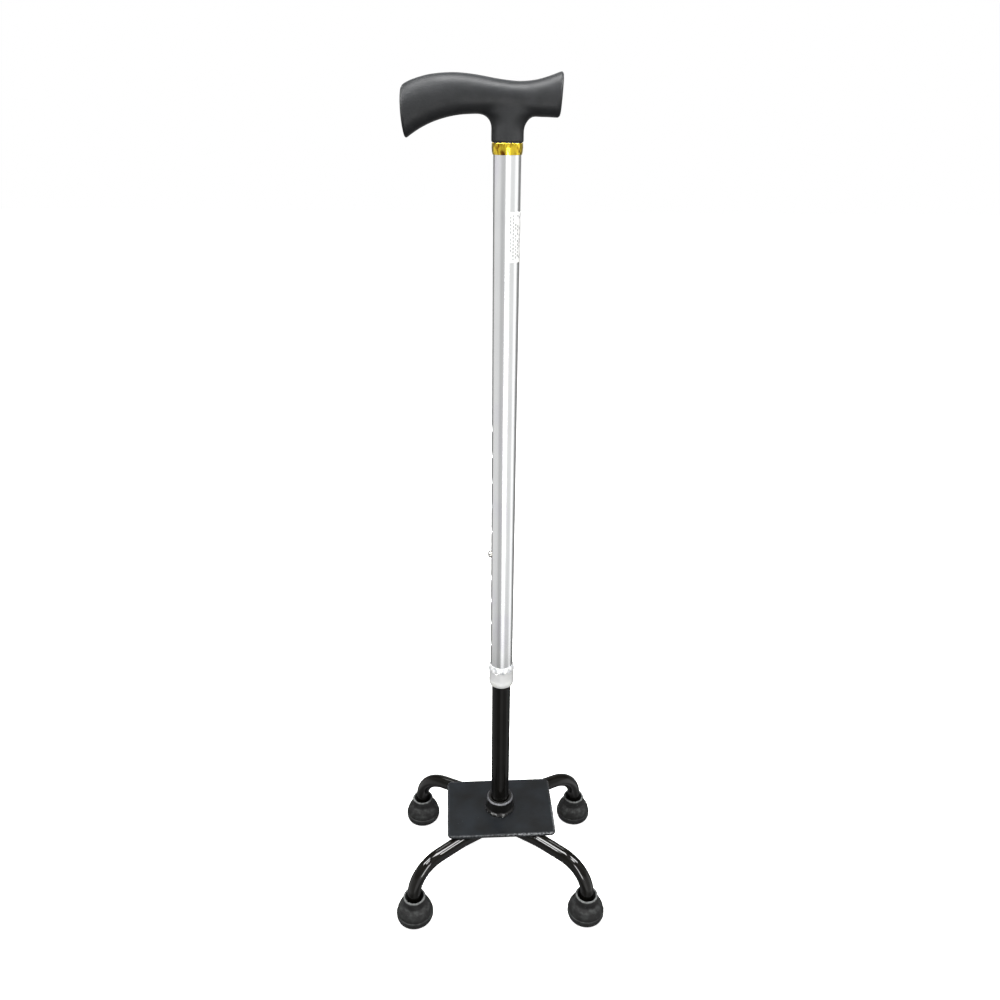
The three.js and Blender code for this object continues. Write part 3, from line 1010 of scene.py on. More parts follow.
@dataclass
class TubeWall:
    """A tube's wall as a grid in arc length, height and depth, with clean round holes on its -X side.

    Attributes:
        outer: The outer radius.
        bore: The bore's radius.
        bottom: The lower end.
        top: The upper end.
        holes: The heights of the holes.
        hole: A hole's radius.
        rim: The radius that rounds the holes' edges and the tube's ends.
        near: How far the finer faces reach from a hole's rounded edge.
        cell: Half the width of the square that a hole is cut in.
        cuts: How many parts a cell's side has.
        columns: How many faces go round the rest of the tube.
        bm: The shape while it is made.
        cache: Its vertices by arc length, height and depth.
    """

    outer: float
    bore: float
    bottom: float
    top: float
    holes: list[float]
    hole: float
    rim: float = 0.35
    near: float = 0.5
    cell: float = 5.6
    cuts: int = 8
    columns: int = 40
    bm: bmesh.types.BMesh = field(default_factory=bmesh.new, init=False)
    cache: dict[tuple[int, int, int], bmesh.types.BMVert] = field(default_factory=dict, init=False)

    def build(self, name: str) -> bpy.types.Object:
        """Makes the tube.

        Args:
            name: The piece's name.

        Returns:
            The shaded tube.
        """
        around = FULL_TURN * self.outer
        rest = around - 2 * self.cell
        grid = [-self.cell + 2 * self.cell * i / self.cuts for i in range(self.cuts + 1)]
        plain = [self.cell + rest * i / self.columns for i in range(self.columns + 1)]
        arcs = [*grid, *plain[1:]]
        wall = self.outer - self.bore
        levels = [self.bottom + self.rim]
        for z in self.holes:
            levels.extend(z + dz for dz in grid)
        levels.append(self.top - self.rim)
        for depth in (0.0, wall):
            for low, high in zip(levels, levels[1:]):
                for left, right in zip(arcs, arcs[1:]):
                    arc, z = (left + right) / 2, (low + high) / 2
                    if not any(abs(arc) < self.cell and abs(z - hole) < self.cell for hole in self.holes):
                        corners = ((left, low), (right, low), (right, high), (left, high))
                        self.face([(*corner, depth) for corner in corners])
        for z in self.holes:
            self.cut_hole(z, grid, wall)
        for end, inward in ((self.bottom, 1), (self.top, -1)):
            shoulder = end + inward * self.rim
            rings = [(0.0, shoulder), (self.rim, end), (wall - self.rim, end), (wall, shoulder)]
            for (d0, z0), (d1, z1) in zip(rings, rings[1:]):
                for left, right in zip(arcs, arcs[1:]):
                    self.face([(left, z0, d0), (right, z0, d0), (right, z1, d1), (left, z1, d1)])
        return shade(object_from(name, self.bm), sharp=50)

    def face(self, corners: Sequence[tuple[float, float, float]]) -> None:
        """Adds a face between corners given as arc length, height and depth."""
        self.bm.faces.new([self.vertex(*corner) for corner in corners])

    def vertex(self, arc: float, z: float, depth: float) -> bmesh.types.BMVert:
        """Finds or makes the vertex that faces share at a place.

        Args:
            arc: The arc length from the row of holes.
            z: The height.
            depth: How far in it lies from the outside.

        Returns:
            The vertex.
        """
        around = FULL_TURN * self.outer
        wrapped = arc % around
        if around - wrapped < 1e-6:
            wrapped = 0.0
        key = (round(wrapped * 1e4), round(z * 1e4), round(depth * 1e4))
        if key not in self.cache:
            bearing = math.pi + wrapped / self.outer
            r = self.outer - depth
            self.cache[key] = self.bm.verts.new((r * math.cos(bearing), r * math.sin(bearing), z))
        return self.cache[key]

    def cut_hole(self, z: float, grid: Sequence[float], wall: float) -> None:
        """Fills one cell of the grid with a round hole through the wall.

        Args:
            z: The hole's height.
            grid: The cell's divisions.
            wall: The wall's thickness.
        """
        square = [(g, -self.cell) for g in grid[:-1]] + [(self.cell, g) for g in grid[:-1]]
        square += [(-x, -y) for x, y in square]
        bearings = [math.atan2(y, x) for x, y in square]
        quarter = math.pi / 2
        rounding = []
        for a in (0, quarter / 2, quarter):
            rounding.append((self.hole + self.rim * (1 - math.sin(a)), self.rim * (1 - math.cos(a))))
        inner = [(r, wall - depth) for r, depth in reversed(rounding)]
        near = self.hole + self.rim + self.near
        rings = [(near, 0.0), *rounding, *inner, (near, wall)]
        loops = [[(x, z + y, 0.0) for x, y in square]]
        for r, depth in rings:
            loops.append([(r * math.cos(b), z + r * math.sin(b), depth) for b in bearings])
        loops.append([(x, z + y, wall) for x, y in square])
        for first, second in zip(loops, loops[1:]):
            for i in range(len(square)):
                j = (i + 1) % len(square)
                self.face([first[i], first[j], second[j], second[i]])


@dataclass
class RoundedSheet:
    """A sheet with round corners and rounded edges, as a grid that can be bent or dented.

    Attributes:
        width: Its size along u.
        height: Its size along v.
        thick: Its thickness along w.
        corner: Its corners' radius.
        edge: The radius of its upper and lower edges.
        pitch: The distance between its grid's lines.
    """

    width: float
    height: float
    thick: float
    corner: float
    edge: float
    pitch: float

    def build(self, name: str, place: Callable[[float, float, float], Vector]) -> bpy.types.Object:
        """Makes the sheet.

        Args:
            name: The piece's name.
            place: Where a point of the sheet goes, given its u and v from the middle and its w.

        Returns:
            The sheet, not shaded, with its u and v as a UV map in millimetres.
        """
        bm = bmesh.new()
        uv = bm.loops.layers.uv.new("sheet")
        layers = []
        lower = []
        for share in (0.0, 0.5, 1.0):
            turn = share * math.pi / 2
            lower.append((self.edge * (1 - math.sin(turn)), self.edge * (1 - math.cos(turn))))
        upper = [(inset, self.thick - w) for inset, w in reversed(lower)]
        flat: dict[bmesh.types.BMVert, Point2] = {}
        us, vs = self.lines(self.width), self.lines(self.height)
        last_u, last_v = len(us) - 1, len(vs) - 1
        rim = [(i, 0) for i in range(last_u)] + [(last_u, j) for j in range(last_v)]
        rim += [(i, last_v) for i in range(last_u, 0, -1)] + [(0, j) for j in range(last_v, 0, -1)]

        def vertex(u: float, v: float, inset: float, w: float) -> bmesh.types.BMVert:
            """Makes a vertex of the sheet, and keeps its place for the UV map.

            Args:
                u: Its place along the square grid's width.
                v: Its place along the grid's height.
                inset: How far the edge is drawn in there.
                w: Its place through the thickness.

            Returns:
                The vertex.
            """
            x, y = self.rounded(u, v, inset)
            made = bm.verts.new(place(x, y, w))
            flat[made] = (x + self.width / 2, y + self.height / 2)
            return made

        for inset, w in (lower[0], upper[-1]):
            layers.append([[vertex(u, v, inset, w) for v in vs] for u in us])
        for grid in layers:
            for i in range(last_u):
                for j in range(last_v):
                    bm.faces.new((grid[i][j], grid[i + 1][j], grid[i + 1][j + 1], grid[i][j + 1]))
        rings = [[layers[0][i][j] for i, j in rim]]
        for inset, w in [*lower[1:], *upper[:-1]]:
            rings.append([vertex(us[i], vs[j], inset, w) for i, j in rim])
        rings.append([layers[1][i][j] for i, j in rim])
        for low, high in zip(rings, rings[1:]):
            for i in range(len(rim)):
                j = (i + 1) % len(rim)
                bm.faces.new((low[i], low[j], high[j], high[i]))
        for f in bm.faces:
            for loop in f.loops:
                loop[uv].uv = flat[loop.vert]
        return object_from(name, bm)

    def lines(self, size: float) -> list[float]:
        """Spaces the grid's lines across one side, with two of them at the corners' centres.

        Args:
            size: The side's length.

        Returns:
            Where the lines lie, from the side's middle.
        """
        inner = size - 2 * self.corner
        few = max(3, math.ceil(self.corner / self.pitch))
        many = max(2, math.ceil(inner / self.pitch))
        ends = [self.corner * k / few for k in range(few)]
        middle = [self.corner + inner * k / many for k in range(many + 1)]
        places = [*ends, *middle, *(size - e for e in reversed(ends))]
        return [p - size / 2 for p in places]

    def rounded(self, u: float, v: float, inset: float) -> Point2:
        """Moves a point of the square grid to where it lies with round corners and the edge drawn in.

        Args:
            u: Its place along the width.
            v: Its place along the height.
            inset: How far the edge is drawn in.

        Returns:
            Where it lies.
        """
        halves = (self.width / 2 - self.corner, self.height / 2 - self.corner)
        past = [max(0.0, abs(p) - half) / self.corner for p, half in zip((u, v), halves)]
        a, b = past
        reach = (self.corner - inset) if self.corner > inset else 0.0
        a, b = a * math.sqrt(1 - b * b / 2), b * math.sqrt(1 - a * a / 2)
        x = math.copysign(min(abs(u), halves[0]) + a * reach, u)
        y = math.copysign(min(abs(v), halves[1]) + b * reach, v)
        return x, y


def paint_wear_and_highlight(obj: bpy.types.Object, amount: Callable[[Vector], float]) -> None:
    """Records how worn each vertex is and, on the collar, how much painted highlight it has, for the finish
    to read.

    Args:
        obj: The piece.
        amount: The wear and any painted highlight, from 0 to 1, at a place in millimetres.
    """
    wear_and_highlight = obj.data.attributes.new(WEAR_AND_HIGHLIGHT, "FLOAT", "POINT")
    wear_and_highlight.data.foreach_set("value", [amount(v.co / MM) for v in obj.data.vertices])


def cut_away(obj: bpy.types.Object, cutter: bpy.types.Object) -> None:
    """Cuts one object out of another.

    Args:
        obj: The object that is cut.
        cutter: What is cut out of it, which is deleted.
    """
    boolean = obj.modifiers.new("cut", "BOOLEAN")
    boolean.operation = "DIFFERENCE"
    boolean.solver = "EXACT"
    boolean.object = cutter
    settle(obj)
    bpy.data.objects.remove(cutter)


# ---------------------------------------------------------------- sub-assemblies


@dataclass
class Assembly:
    """A sub-assembly: its sizes are fields, and it makes and dresses its own pieces."""

    pieces: dict[str, bpy.types.Object] = field(default_factory=dict, init=False)

    def install(self, piece: bpy.types.Object, body: Body, *nodes: str) -> bpy.types.Object:
        """Lets a piece ride on a body, in place of the CAD nodes that it stands for.

        Args:
            piece: The piece.
            body: The body that it rides on.
            nodes: The CAD nodes that it replaces.

        Returns:
            The same piece.
        """
        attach(piece, body.value)
        if nodes:
            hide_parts(*nodes)
        self.pieces[piece.name] = piece
        LOG.info("%s rides on %s, faces: %d", piece.name, body.value, len(piece.data.polygons))
        return piece

    def coat(self, name: str, finish: Finish) -> None:
        """Gives a piece of this assembly, or a CAD node that stays, its finish.

        Args:
            name: The piece's or the node's name.
            finish: The finish.
        """
        obj = self.pieces.get(name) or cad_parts[name]
        obj.data.materials.clear()
        obj.data.materials.append(finish.material())


@dataclass
class Handle(Assembly):
    """The T handle, and the gold ring under its neck."""

    # The upper and lower edges, as distance from the long arm's end and height above the neck's foot.
    crown: tuple[Point2, ...] = (
        (0, 39.2), (8, 43.1), (22, 46.8), (39, 48.3), (55, 47.3),
        (76, 44.1), (90, 42.9), (102, 43.8), (113, 46.7), (123, 50.4),
    )
    belly: tuple[Point2, ...] = (
        (0, 1.6), (5, 4.7), (16, 10.6), (28, 15.4), (41, 18.6),
        (55, 19.8), (82, 19.8), (104, 18.2), (113, 18.0), (123, 17.6),
    )
    belly_height: float = 19.8
    power: float = 2.35  # of the section, between an ellipse's 2 and a rectangle
    end_round: float = 2.4
    sections: int = 90
    # The long arm's end bows outwards, most at one height, and the short arm's end leans in below another.
    bow: float = 2.4
    bow_level: float = 792.0
    bow_reach: float = 25.0
    slant: float = 1.4
    slant_level: float = 806.0
    slant_reach: float = 24.0
    fade: float = 24.0
    narrowing: float = 1.1
    narrow_run: float = 30.0
    # The neck is round at its foot, and flares into each arm.
    neck: float = 12.6
    neck_edge: float = 0.7
    neck_draw: float = 0.5
    neck_taper: float = 0.8
    buried: float = 10.0
    flare_left: float = 9.5
    flare_right: float = 12.5
    flare_steps: int = 14
    sides: int = 72
    voxel: float = 0.6
    # The neck's root is smoothed more than the rest, out to a distance and above the ring.
    blend_reach: float = 32.0
    blend_fade: float = 12.0
    blend_clear: float = 6.0
    pilot: float = 2.1
    ring_sides: int = 192
    dimples: int = 17
    dimple: float = 0.09

    def build(self) -> None:
        """Makes the grip and the ring, and keeps the plug and the screw as they are."""
        self.install(self.grip(), Body.UPPER, "handle_grip")
        self.install(self.ring(), Body.UPPER, "ferrule_ring")

    def dress(self) -> None:
        """Gives each piece its finish."""
        self.coat("grip_shell", SKIN)
        self.coat("ferrule_band", GOLD)
        self.coat("handle_plug", NYLON)
        self.coat("handle_screw", ZINC)

    def grip(self) -> bpy.types.Object:
        """Makes the hand grip: an arm and a neck, grown together and smoothed where they meet.

        Returns:
            The shaded grip.
        """
        low, high = box_mm("handle_grip")
        bm = bmesh.new()
        skin_rings(bm, self.arm_rings(low, high))
        skin_rings(bm, self.neck_rings(low))
        grip = object_from("grip_shell", bm)
        remesh = grip.modifiers.new("one_skin", "REMESH")
        remesh.mode = "VOXEL"
        remesh.voxel_size = self.voxel * MM
        settle(grip)
        everywhere = grip.modifiers.new("ease", "SMOOTH")
        everywhere.factor = 0.5
        everywhere.iterations = 6
        settle(grip)
        blend = grip.vertex_groups.new(name="neck_blend")
        root = Vector((0, 0, low.z + self.belly_height))
        for v in grip.data.vertices:
            away = (v.co / MM - root).length
            risen = v.co.z / MM - low.z - self.blend_clear
            near = max(0.0, min(1.0, (self.blend_reach - away) / self.blend_fade))
            weight = near * max(0.0, min(1.0, risen / self.blend_clear))
            if weight:
                blend.add([v.index], weight, "REPLACE")
        eased = grip.modifiers.new("neck_ease", "SMOOTH")
        eased.factor = 0.5
        eased.iterations = 90
        eased.vertex_group = blend.name
        settle(grip)
        tube_top = box_mm("upper_tube")[1].z
        screw_top = box_mm("handle_screw")[1].z
        bore = radius_mm("upper_tube") + SEAT
        for name, r, start, end, sides in (
            ("bore_cutter", bore, low.z - 2, tube_top + 0.4, 96),
            ("pilot_cutter", self.pilot, tube_top - 1, screw_top + 0.6, 24),
        ):
            cut_away(grip, revolve(name, [(0, start), (r, start), (r, end), (0, end)], sides))
        return shade(grip, sharp=55)

    def arm_rings(self, low: Vector, high: Vector) -> list[Points]:
        """Makes the long body's sections, from the long arm's end to the short arm's.

        Args:
            low: The CAD grip's lowest corner.
            high: Its highest corner.

        Returns:
            The sections' rings.
        """
        crown, belly = smooth_through(self.crown, 12), smooth_through(self.belly, 12)
        length = self.crown[-1][0]
        start = high.x - length
        steps = [0, 0.08, 0.3, 0.7, 1.2, 1.8, self.end_round]
        spacing = (length - 2 * self.end_round) / (self.sections + 1)
        inner = [self.end_round + spacing * (i + 1) for i in range(self.sections)]
        stations = [*steps, *inner, *(length - s for s in reversed(steps))]
        rings = []
        for d in stations:
            short = max(0.0, self.end_round - min(d, length - d))
            inset = self.end_round - math.sqrt(self.end_round**2 - short**2)
            top, bottom = height_at(crown, d) - inset, height_at(belly, d) + inset
            narrowed = self.narrowing * max(0.0, (d - length + self.narrow_run) / self.narrow_run)
            across = high.y - narrowed - inset
            ring = []
            for k in range(self.sides):
                bearing = FULL_TURN * k / self.sides
                cos, sin = math.cos(bearing), math.sin(bearing)
                y = across * math.copysign(abs(cos) ** (2 / self.power), cos)
                rise = math.copysign(abs(sin) ** (2 / self.power), sin)
                up = (top + bottom) / 2 + (top - bottom) / 2 * rise
                z = low.z + up
                off = min(1.0, abs(z - self.bow_level) / self.bow_reach)
                lean = self.bow * max(0.0, 1 - d / self.fade) * off**2
                below = (self.slant_level - z) / self.slant_reach
                tuck = self.slant * max(0.0, 1 - (length - d) / self.fade) * below
                ring.append(Vector((start + d + lean - tuck, y, z)))
            rings.append(ring)
        return rings

    def neck_rings(self, low: Vector) -> list[Points]:
        """Makes the neck's sections, which flare along X into the arms.

        Args:
            low: The CAD grip's lowest corner.

        Returns:
            The sections' rings, from the neck's foot upwards.
        """
        top = self.belly_height
        heights = [0, 0.25, self.neck_edge, 3, 6]
        for k in range(1, self.flare_steps + 1):
            heights.append(top - self.flare_right * (1 - math.sin(math.pi / 2 * k / self.flare_steps)))
        heights += [top + self.buried * k / 5 for k in range(1, 6)]
        rings = []
        for h in heights:
            drawn = self.neck_draw * max(0.0, 1 - h / self.neck_edge) ** 2
            b = self.neck - drawn - self.neck_taper * (max(0.0, h - top) / self.buried) ** 2
            ring = []
            for k in range(self.sides):
                bearing = FULL_TURN * k / self.sides
                flare = self.flare_left if math.cos(bearing) < 0 else self.flare_right
                risen = max(0.0, flare - max(0.0, top - h))
                wide = b + flare - math.sqrt(flare**2 - risen**2)
                ring.append(Vector((wide * math.cos(bearing), b * math.sin(bearing), low.z + h)))
            rings.append(ring)
        return rings

    def ring(self) -> bpy.types.Object:
        """Makes the pressed ring: bulged above, drawn in at its foot, with shallow dents from the press.

        Returns:
            The shaded ring.
        """
        low, high = box_mm("ferrule_ring")
        bore = radius_mm("upper_tube") + SEAT
        bulge = radius_mm("ferrule_ring")
        outline = [
            (bore, low.z, 0.1), (bulge - 0.8, low.z, 0.35), (bulge - 0.25, low.z + 2.1, 1.5),
            (bulge, low.z + 5.4, 3.0), (bulge - 0.15, high.z, 0.5), (bore, high.z, 0.1),
        ]

        def dent(r: float, z: float, bearing: float) -> Point2:
            """Presses shallow dents, unevenly spaced, into the bulge.

            Args:
                r: A point's radius.
                z: Its height.
                bearing: Its bearing.

            Returns:
                Its new radius and height.
            """
            deep = self.dimple * (0.5 + 0.5 * math.cos(self.dimples * bearing + 2 * math.sin(3 * bearing)))
            return (r - deep, z) if r > bulge - 0.5 else (r, z)

        return revolve("ferrule_band", filleted(outline), self.ring_sides, dent)


@dataclass
class UpperShaft(Assembly):
    """The silver tube with its height holes, its label and the collet at its foot."""

    bore: float = 10.1
    hole: float = 3.6
    pitch: float = 25.4
    below: int = 4
    above: int = 5
    glue: float = 0.06
    label_corner: float = 1.6
    label_from: float = -92.0  # the label's edges, in degrees round the tube from +X
    label_to: float = 32.0
    label_pitch: float = 1.5

    def build(self) -> None:
        """Makes the tube and the label."""
        low, high = box_mm("upper_tube")
        level = middle_mm("snap_button").z
        holes = [level + self.pitch * i for i in range(-self.below, self.above + 1)]
        wall = TubeWall(radius_mm("upper_tube"), self.bore, low.z, high.z, holes, self.hole)
        self.install(wall.build("upper_tube_wall"), Body.UPPER, "upper_tube")
        self.install(self.label(), Body.UPPER, "tube_label")

    def dress(self) -> None:
        """Gives each piece its finish."""
        self.coat("upper_tube_wall", SILVER)
        self.coat("label_film", FILM)
        self.coat("collet_bush", NYLON)

    def label(self) -> bpy.types.Object:
        """Makes the label, wrapped on the tube.

        Returns:
            The shaded label.
        """
        low, high = box_mm("tube_label")
        radius = radius_mm("upper_tube") + self.glue
        thick = -low.y - radius
        arc = math.radians(self.label_to - self.label_from)
        middle = math.radians(self.label_from + self.label_to) / 2
        height = high.z - low.z
        sheet = RoundedSheet(radius * arc, height, thick, self.label_corner, thick / 3, self.label_pitch)

        def wrap(u: float, v: float, w: float) -> Vector:
            """Rolls a point of the flat label onto the tube.

            Args:
                u: Its place round the tube, from the label's middle.
                v: Its place along the tube, from the middle.
                w: Its place through the film.

            Returns:
                Its place on the tube.
            """
            bearing = middle + u / radius
            r = radius + w
            return Vector((r * math.cos(bearing), r * math.sin(bearing), low.z + height / 2 + v))

        return shade(sheet.build("label_film", wrap))


@dataclass
class LockNut(Assembly):
    """The milky ring that squeezes the collet: a crimped lip, a groove, and a body with a rolled foot."""

    lip: float = 6.0
    groove: float = 0.45
    facets: int = 14
    crimp: float = 0.85
    notch: float = 0.2
    band: float = 0.18
    sides: int = 168

    def build(self) -> None:
        """Makes the ring."""
        low, high = box_mm("lock_nut")
        wide = radius_mm("lock_nut")
        body = wide - 0.35
        bore = radius_mm("upper_tube") + SEAT
        base, top = low.z, high.z
        seam = top - self.lip
        rolled = body + self.band - 0.15
        outline = [
            (9.8, base, 0.2), (10.8, base, 0.3), (11.95, base + 1.1, 0.6), (body - 0.15, base + 3.0, 0.5),
            (rolled, base + 3.4, 0.15), (rolled, base + 6.4, 0.15), (body - 0.15, base + 6.8, 0.2),
            (body, seam - 0.7, 0.25), (body - self.groove, seam - 0.35, 0.15),
            (body - self.groove, seam, 0.15), (wide, seam + 0.4, 0.3),
            (wide, seam + 2.3, 0.8), (wide - 0.5, seam + 4.0, 0.6), (bore + 0.55, top, 0.3), (bore, top, 0.1),
            (bore, base + 7.2, 0.2), (10.6, base + 1.5, 0.2),
        ]

        def crimped(r: float, z: float, bearing: float) -> Point2:
            """Crimps the lip in a round of facets, and notches the groove under it.

            Args:
                r: A point's radius.
                z: Its height.
                bearing: Its bearing.

            Returns:
                Its new radius and height.
            """
            if z > seam + 0.5 and r > bore + 0.3:
                press = abs(math.cos(self.facets * bearing / 2)) ** 4
                rise = min(1.0, (z - seam - 0.5) / 2)
                return r - self.crimp * press * rise, z
            if r > body - self.groove - 0.1 and seam - 1.2 < z < seam - 0.4:
                return r - self.notch * (math.cos(3 * self.facets * bearing) > 0.2), z
            return r, z

        self.install(revolve("lock_nut_shell", filleted(outline), self.sides, crimped), Body.LOCK, "lock_nut")

    def dress(self) -> None:
        """Gives the ring its finish, which fades between its foot and its head."""
        low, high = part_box("lock_nut")
        levels = {"foot": low.z, "head": (low.z + high.z) / 2, "seam": high.z - self.lip * MM}
        milky = MilkyNylon("milky_nylon", Slot.CLEAR_RING, "#ececeb", 0.34, ior=1.53, **levels)
        self.coat("lock_nut_shell", milky)


@dataclass
class SnapButton(Assembly):
    """The domed button, and the leaf spring behind it."""

    dome: float = 2.0
    tail: float = 1.4
    clinch: float = 2.3
    clinch_length: float = 0.6
    dome_steps: int = 10
    sides: int = 64

    def build(self) -> None:
        """Makes the button, turned about the X axis."""
        low, high = box_mm("snap_button")
        radius = (high.z - low.z) / 2
        centre = (high.z + low.z) / 2
        tip = -low.x
        arcs = [math.pi / 2 * k / self.dome_steps for k in range(self.dome_steps + 1)]
        crown = [(radius * math.cos(a), tip - self.dome * (1 - math.sin(a))) for a in arcs]
        crown[-1] = (0.0, tip)
        seat = -box_mm("button_spring")[0].x + SEAT
        end = -high.x
        rivet = end + self.clinch_length
        outline = [
            (0, end), (self.clinch, end, 0.25), (self.clinch, rivet, 0.1),
            (self.tail, rivet), (self.tail, seat), (radius, seat, 0.2), crown[0],
        ]
        profile = [*filleted(outline, closed=False), *crown[1:]]
        lay = Matrix.Translation((0, 0, centre)) @ Matrix.Rotation(-math.pi / 2, 4, "Y")
        stud = revolve("snap_button_stud", profile, self.sides, axis=lay)
        self.install(stud, Body.BUTTON, "snap_button")

    def dress(self) -> None:
        """Gives each piece its finish."""
        self.coat("snap_button_stud", NICKEL)
        self.coat("button_spring", SPRING)


@dataclass
class LowerShaft(Assembly):
    """The gloss black tube that stands in the base, with the bush at its head and the plug at its foot."""

    bore: float = 8.3
    hole: float = 3.45

    def build(self) -> None:
        """Makes the tube."""
        low, high = box_mm("lower_tube")
        level = middle_mm("snap_button").z
        wall = TubeWall(radius_mm("lower_tube"), self.bore, low.z, high.z, [level], self.hole)
        self.install(wall.build("lower_tube_wall"), Body.BASE, "lower_tube")

    def dress(self) -> None:
        """Gives each piece its finish."""
        self.coat("lower_tube_wall", ENAMEL)
        self.coat("guide_bush", NYLON)
        self.coat("tube_plug", ZINC)


@dataclass
class BasePlate(Assembly):
    """The plate, the collar welded on it, and the bolt that comes up through it."""

    width: float = 116.0
    depth: float = 82.0
    corner: float = 6.0
    edge: float = 0.7
    skew: float = 2.2
    wave: float = 22.0
    waver: float = 0.25
    waver_seed: int = 5
    rub: float = 1.6
    pitch: float = 2.0
    hole: float = 4.4
    collar: float = 14.2
    collar_bore: float = 9.6
    weld: float = 5.0
    puddles: int = 17
    across_flats: float = 13.0
    bolt: float = 4.0
    thread: float = 1.25
    thread_depth: float = 0.55
    thread_root: float = 0.6

    def build(self) -> None:
        """Makes the plate, the collar with its weld, the bolt and the washer."""
        self.install(self.plate(), Body.BASE, "base_plate")
        self.install(self.socket(), Body.BASE, "base_socket")
        self.install(self.bolt_piece(), Body.BASE, "base_bolt")
        self.install(self.washer(), Body.BASE, "base_washer")

    def dress(self) -> None:
        """Gives each piece its finish."""
        self.coat("plate_sheet", POWDER)
        self.coat("collar_socket", BRUSHED)
        self.coat("hex_bolt", ZINC)
        self.coat("bolt_washer", ZINC)

    def plate(self) -> bpy.types.Object:
        """Makes the plate: laser cut, a little uneven, with its edges worn.

        Returns:
            The shaded plate.
        """
        low, high = box_mm("base_plate")
        turn = Matrix.Rotation(math.radians(self.skew), 3, "Z")
        sheet = RoundedSheet(self.width, self.depth, high.z - low.z, self.corner, self.edge, self.pitch)

        def lay(u: float, v: float, w: float) -> Vector:
            """Lays a point of the sheet in the base, with the plate's edges a little wavy.

            Args:
                u: Its place along the width, from the middle.
                v: Its place along the depth, from the middle.
                w: Its place through the thickness.

            Returns:
                Its place in the base.
            """
            waver = noise.noise_vector(Vector((u, v, 0)) / self.wave) * self.waver
            x = u - abs(waver.x) * math.copysign(1, u) * (abs(u) / self.width) ** 4 * 8
            y = v - abs(waver.y) * math.copysign(1, v) * (abs(v) / self.depth) ** 4 * 8
            return turn @ Vector((x, y, low.z + w))

        # Without a seed, the vector noise starts from the clock, and no two builds are alike.
        noise.seed_set(self.waver_seed)
        plate = sheet.build("plate_sheet", lay)
        start, end = low.z - 2, high.z + 2
        drill = [(0, start), (self.hole, start), (self.hole, end), (0, end)]
        cut_away(plate, revolve("hole_cutter", drill, 48))
        back = turn.transposed()

        def worn(place: Vector) -> float:
            """Wears the upper edges, and the front right one most.

            Args:
                place: A vertex's place.

            Returns:
                How worn it is, from 0 to 1.
            """
            at = back @ place
            from_side = self.width / 2 - abs(at.x)
            from_end = self.depth / 2 - abs(at.y)
            near_edge = max(0.0, 1 - min(from_side, from_end) / self.rub)
            right_front = max(0.0, min(1.0, (at.x - 2) / 20)) * (at.y < 0)
            upper = place.z > low.z + (high.z - low.z) / 2
            return near_edge * (0.25 + 0.75 * right_front) * upper

        paint_wear_and_highlight(plate, worn)
        return shade(plate)

    def socket(self) -> bpy.types.Object:
        """Makes the collar: turned, its chamfered rim worn and painted with a highlight, and a lumpy weld
        round its foot.

        Returns:
            The shaded collar.
        """
        low, high = box_mm("base_socket")
        bead = radius_mm("base_socket")
        outline = [
            (self.collar_bore, low.z, 0), (bead + 0.6, low.z, 0.4), (bead, low.z + 1.7, 0.9),
            (self.collar, low.z + 3.4, 1.2), (self.collar, high.z - 1.9),
            (self.collar, high.z - 1.3, 0.5), (self.collar - 1.1, high.z, 0.5),
            (self.collar - 1.6, high.z), (self.collar_bore + 0.9, high.z, 0.3),
            (self.collar_bore, high.z - 0.8, 0.3),
        ]

        def lumpy(r: float, z: float, bearing: float) -> Point2:
            """Makes the weld round the collar's foot lumpy, with a round of puddles.

            Args:
                r: A point's radius.
                z: Its height.
                bearing: Its bearing.

            Returns:
                Its new radius and height.
            """
            if r < self.collar - 0.5 or z > low.z + self.weld:
                return r, z
            share = max(0.0, 1 - (z - low.z) / self.weld)
            at = Vector((math.cos(bearing), math.sin(bearing), z / 9)) * 2.6
            puddle = 0.5 + 0.5 * math.sin(self.puddles * bearing + 1.5 * math.sin(2 * bearing))
            grown = share * (0.45 * puddle + 1.2 * noise.noise(at))
            return r + grown, z + 0.6 * share * noise.noise(at * 2) * (z > low.z + 0.3)

        collar = revolve("collar_socket", filleted(outline, step=12), 168, lumpy)

        def rubbed(place: Vector) -> float:
            """Wears the collar's rim, brightest at the front as a painted highlight, and paints spatter and
            highlight specks on its foot.

            Args:
                place: A vertex's place.

            Returns:
                How much bare steel and painted highlight it shows, from 0 to 1.
            """
            out = math.hypot(place.x, place.y)
            on_rim = place.z > high.z - 1.4 and out > self.collar - 1.3
            # painted highlight: bright specks on the weld, partly spatter and partly the bead's highlights
            spatter_and_highlights = 0.5 * (place.z < low.z + 2.5 and noise.noise(place / 1.7) > 0.42)
            # painted highlight: the worn rim is made brightest at the front, where its rounded edge catches
            # the light
            facing = 0.6 - 0.4 * place.y / out
            return facing if on_rim else spatter_and_highlights

        paint_wear_and_highlight(collar, rubbed)
        return collar

    def bolt_piece(self) -> bpy.types.Object:
        """Makes the hexagon bolt, with its head's corners turned off and its shank threaded.

        Returns:
            The shaded bolt.
        """
        low, high = box_mm("base_bolt")
        seat = box_mm("base_washer")[0].z - SEAT
        corner = self.across_flats / math.sqrt(3)
        steps = 6
        chamfer = [(corner - 1.2 + 1.2 * k / steps, low.z + 0.7 * k / steps) for k in range(steps + 1)]
        outline = [(0, low.z), *chamfer, (corner, seat - 0.3), (corner - 0.7, seat), (self.bolt, seat)]
        z = seat + 2
        while z < high.z - 2:
            outline += [(self.bolt, z), (self.bolt - self.thread_depth, z + self.thread_root)]
            z += self.thread
        outline += [(self.bolt - 0.6, high.z), (0, high.z)]

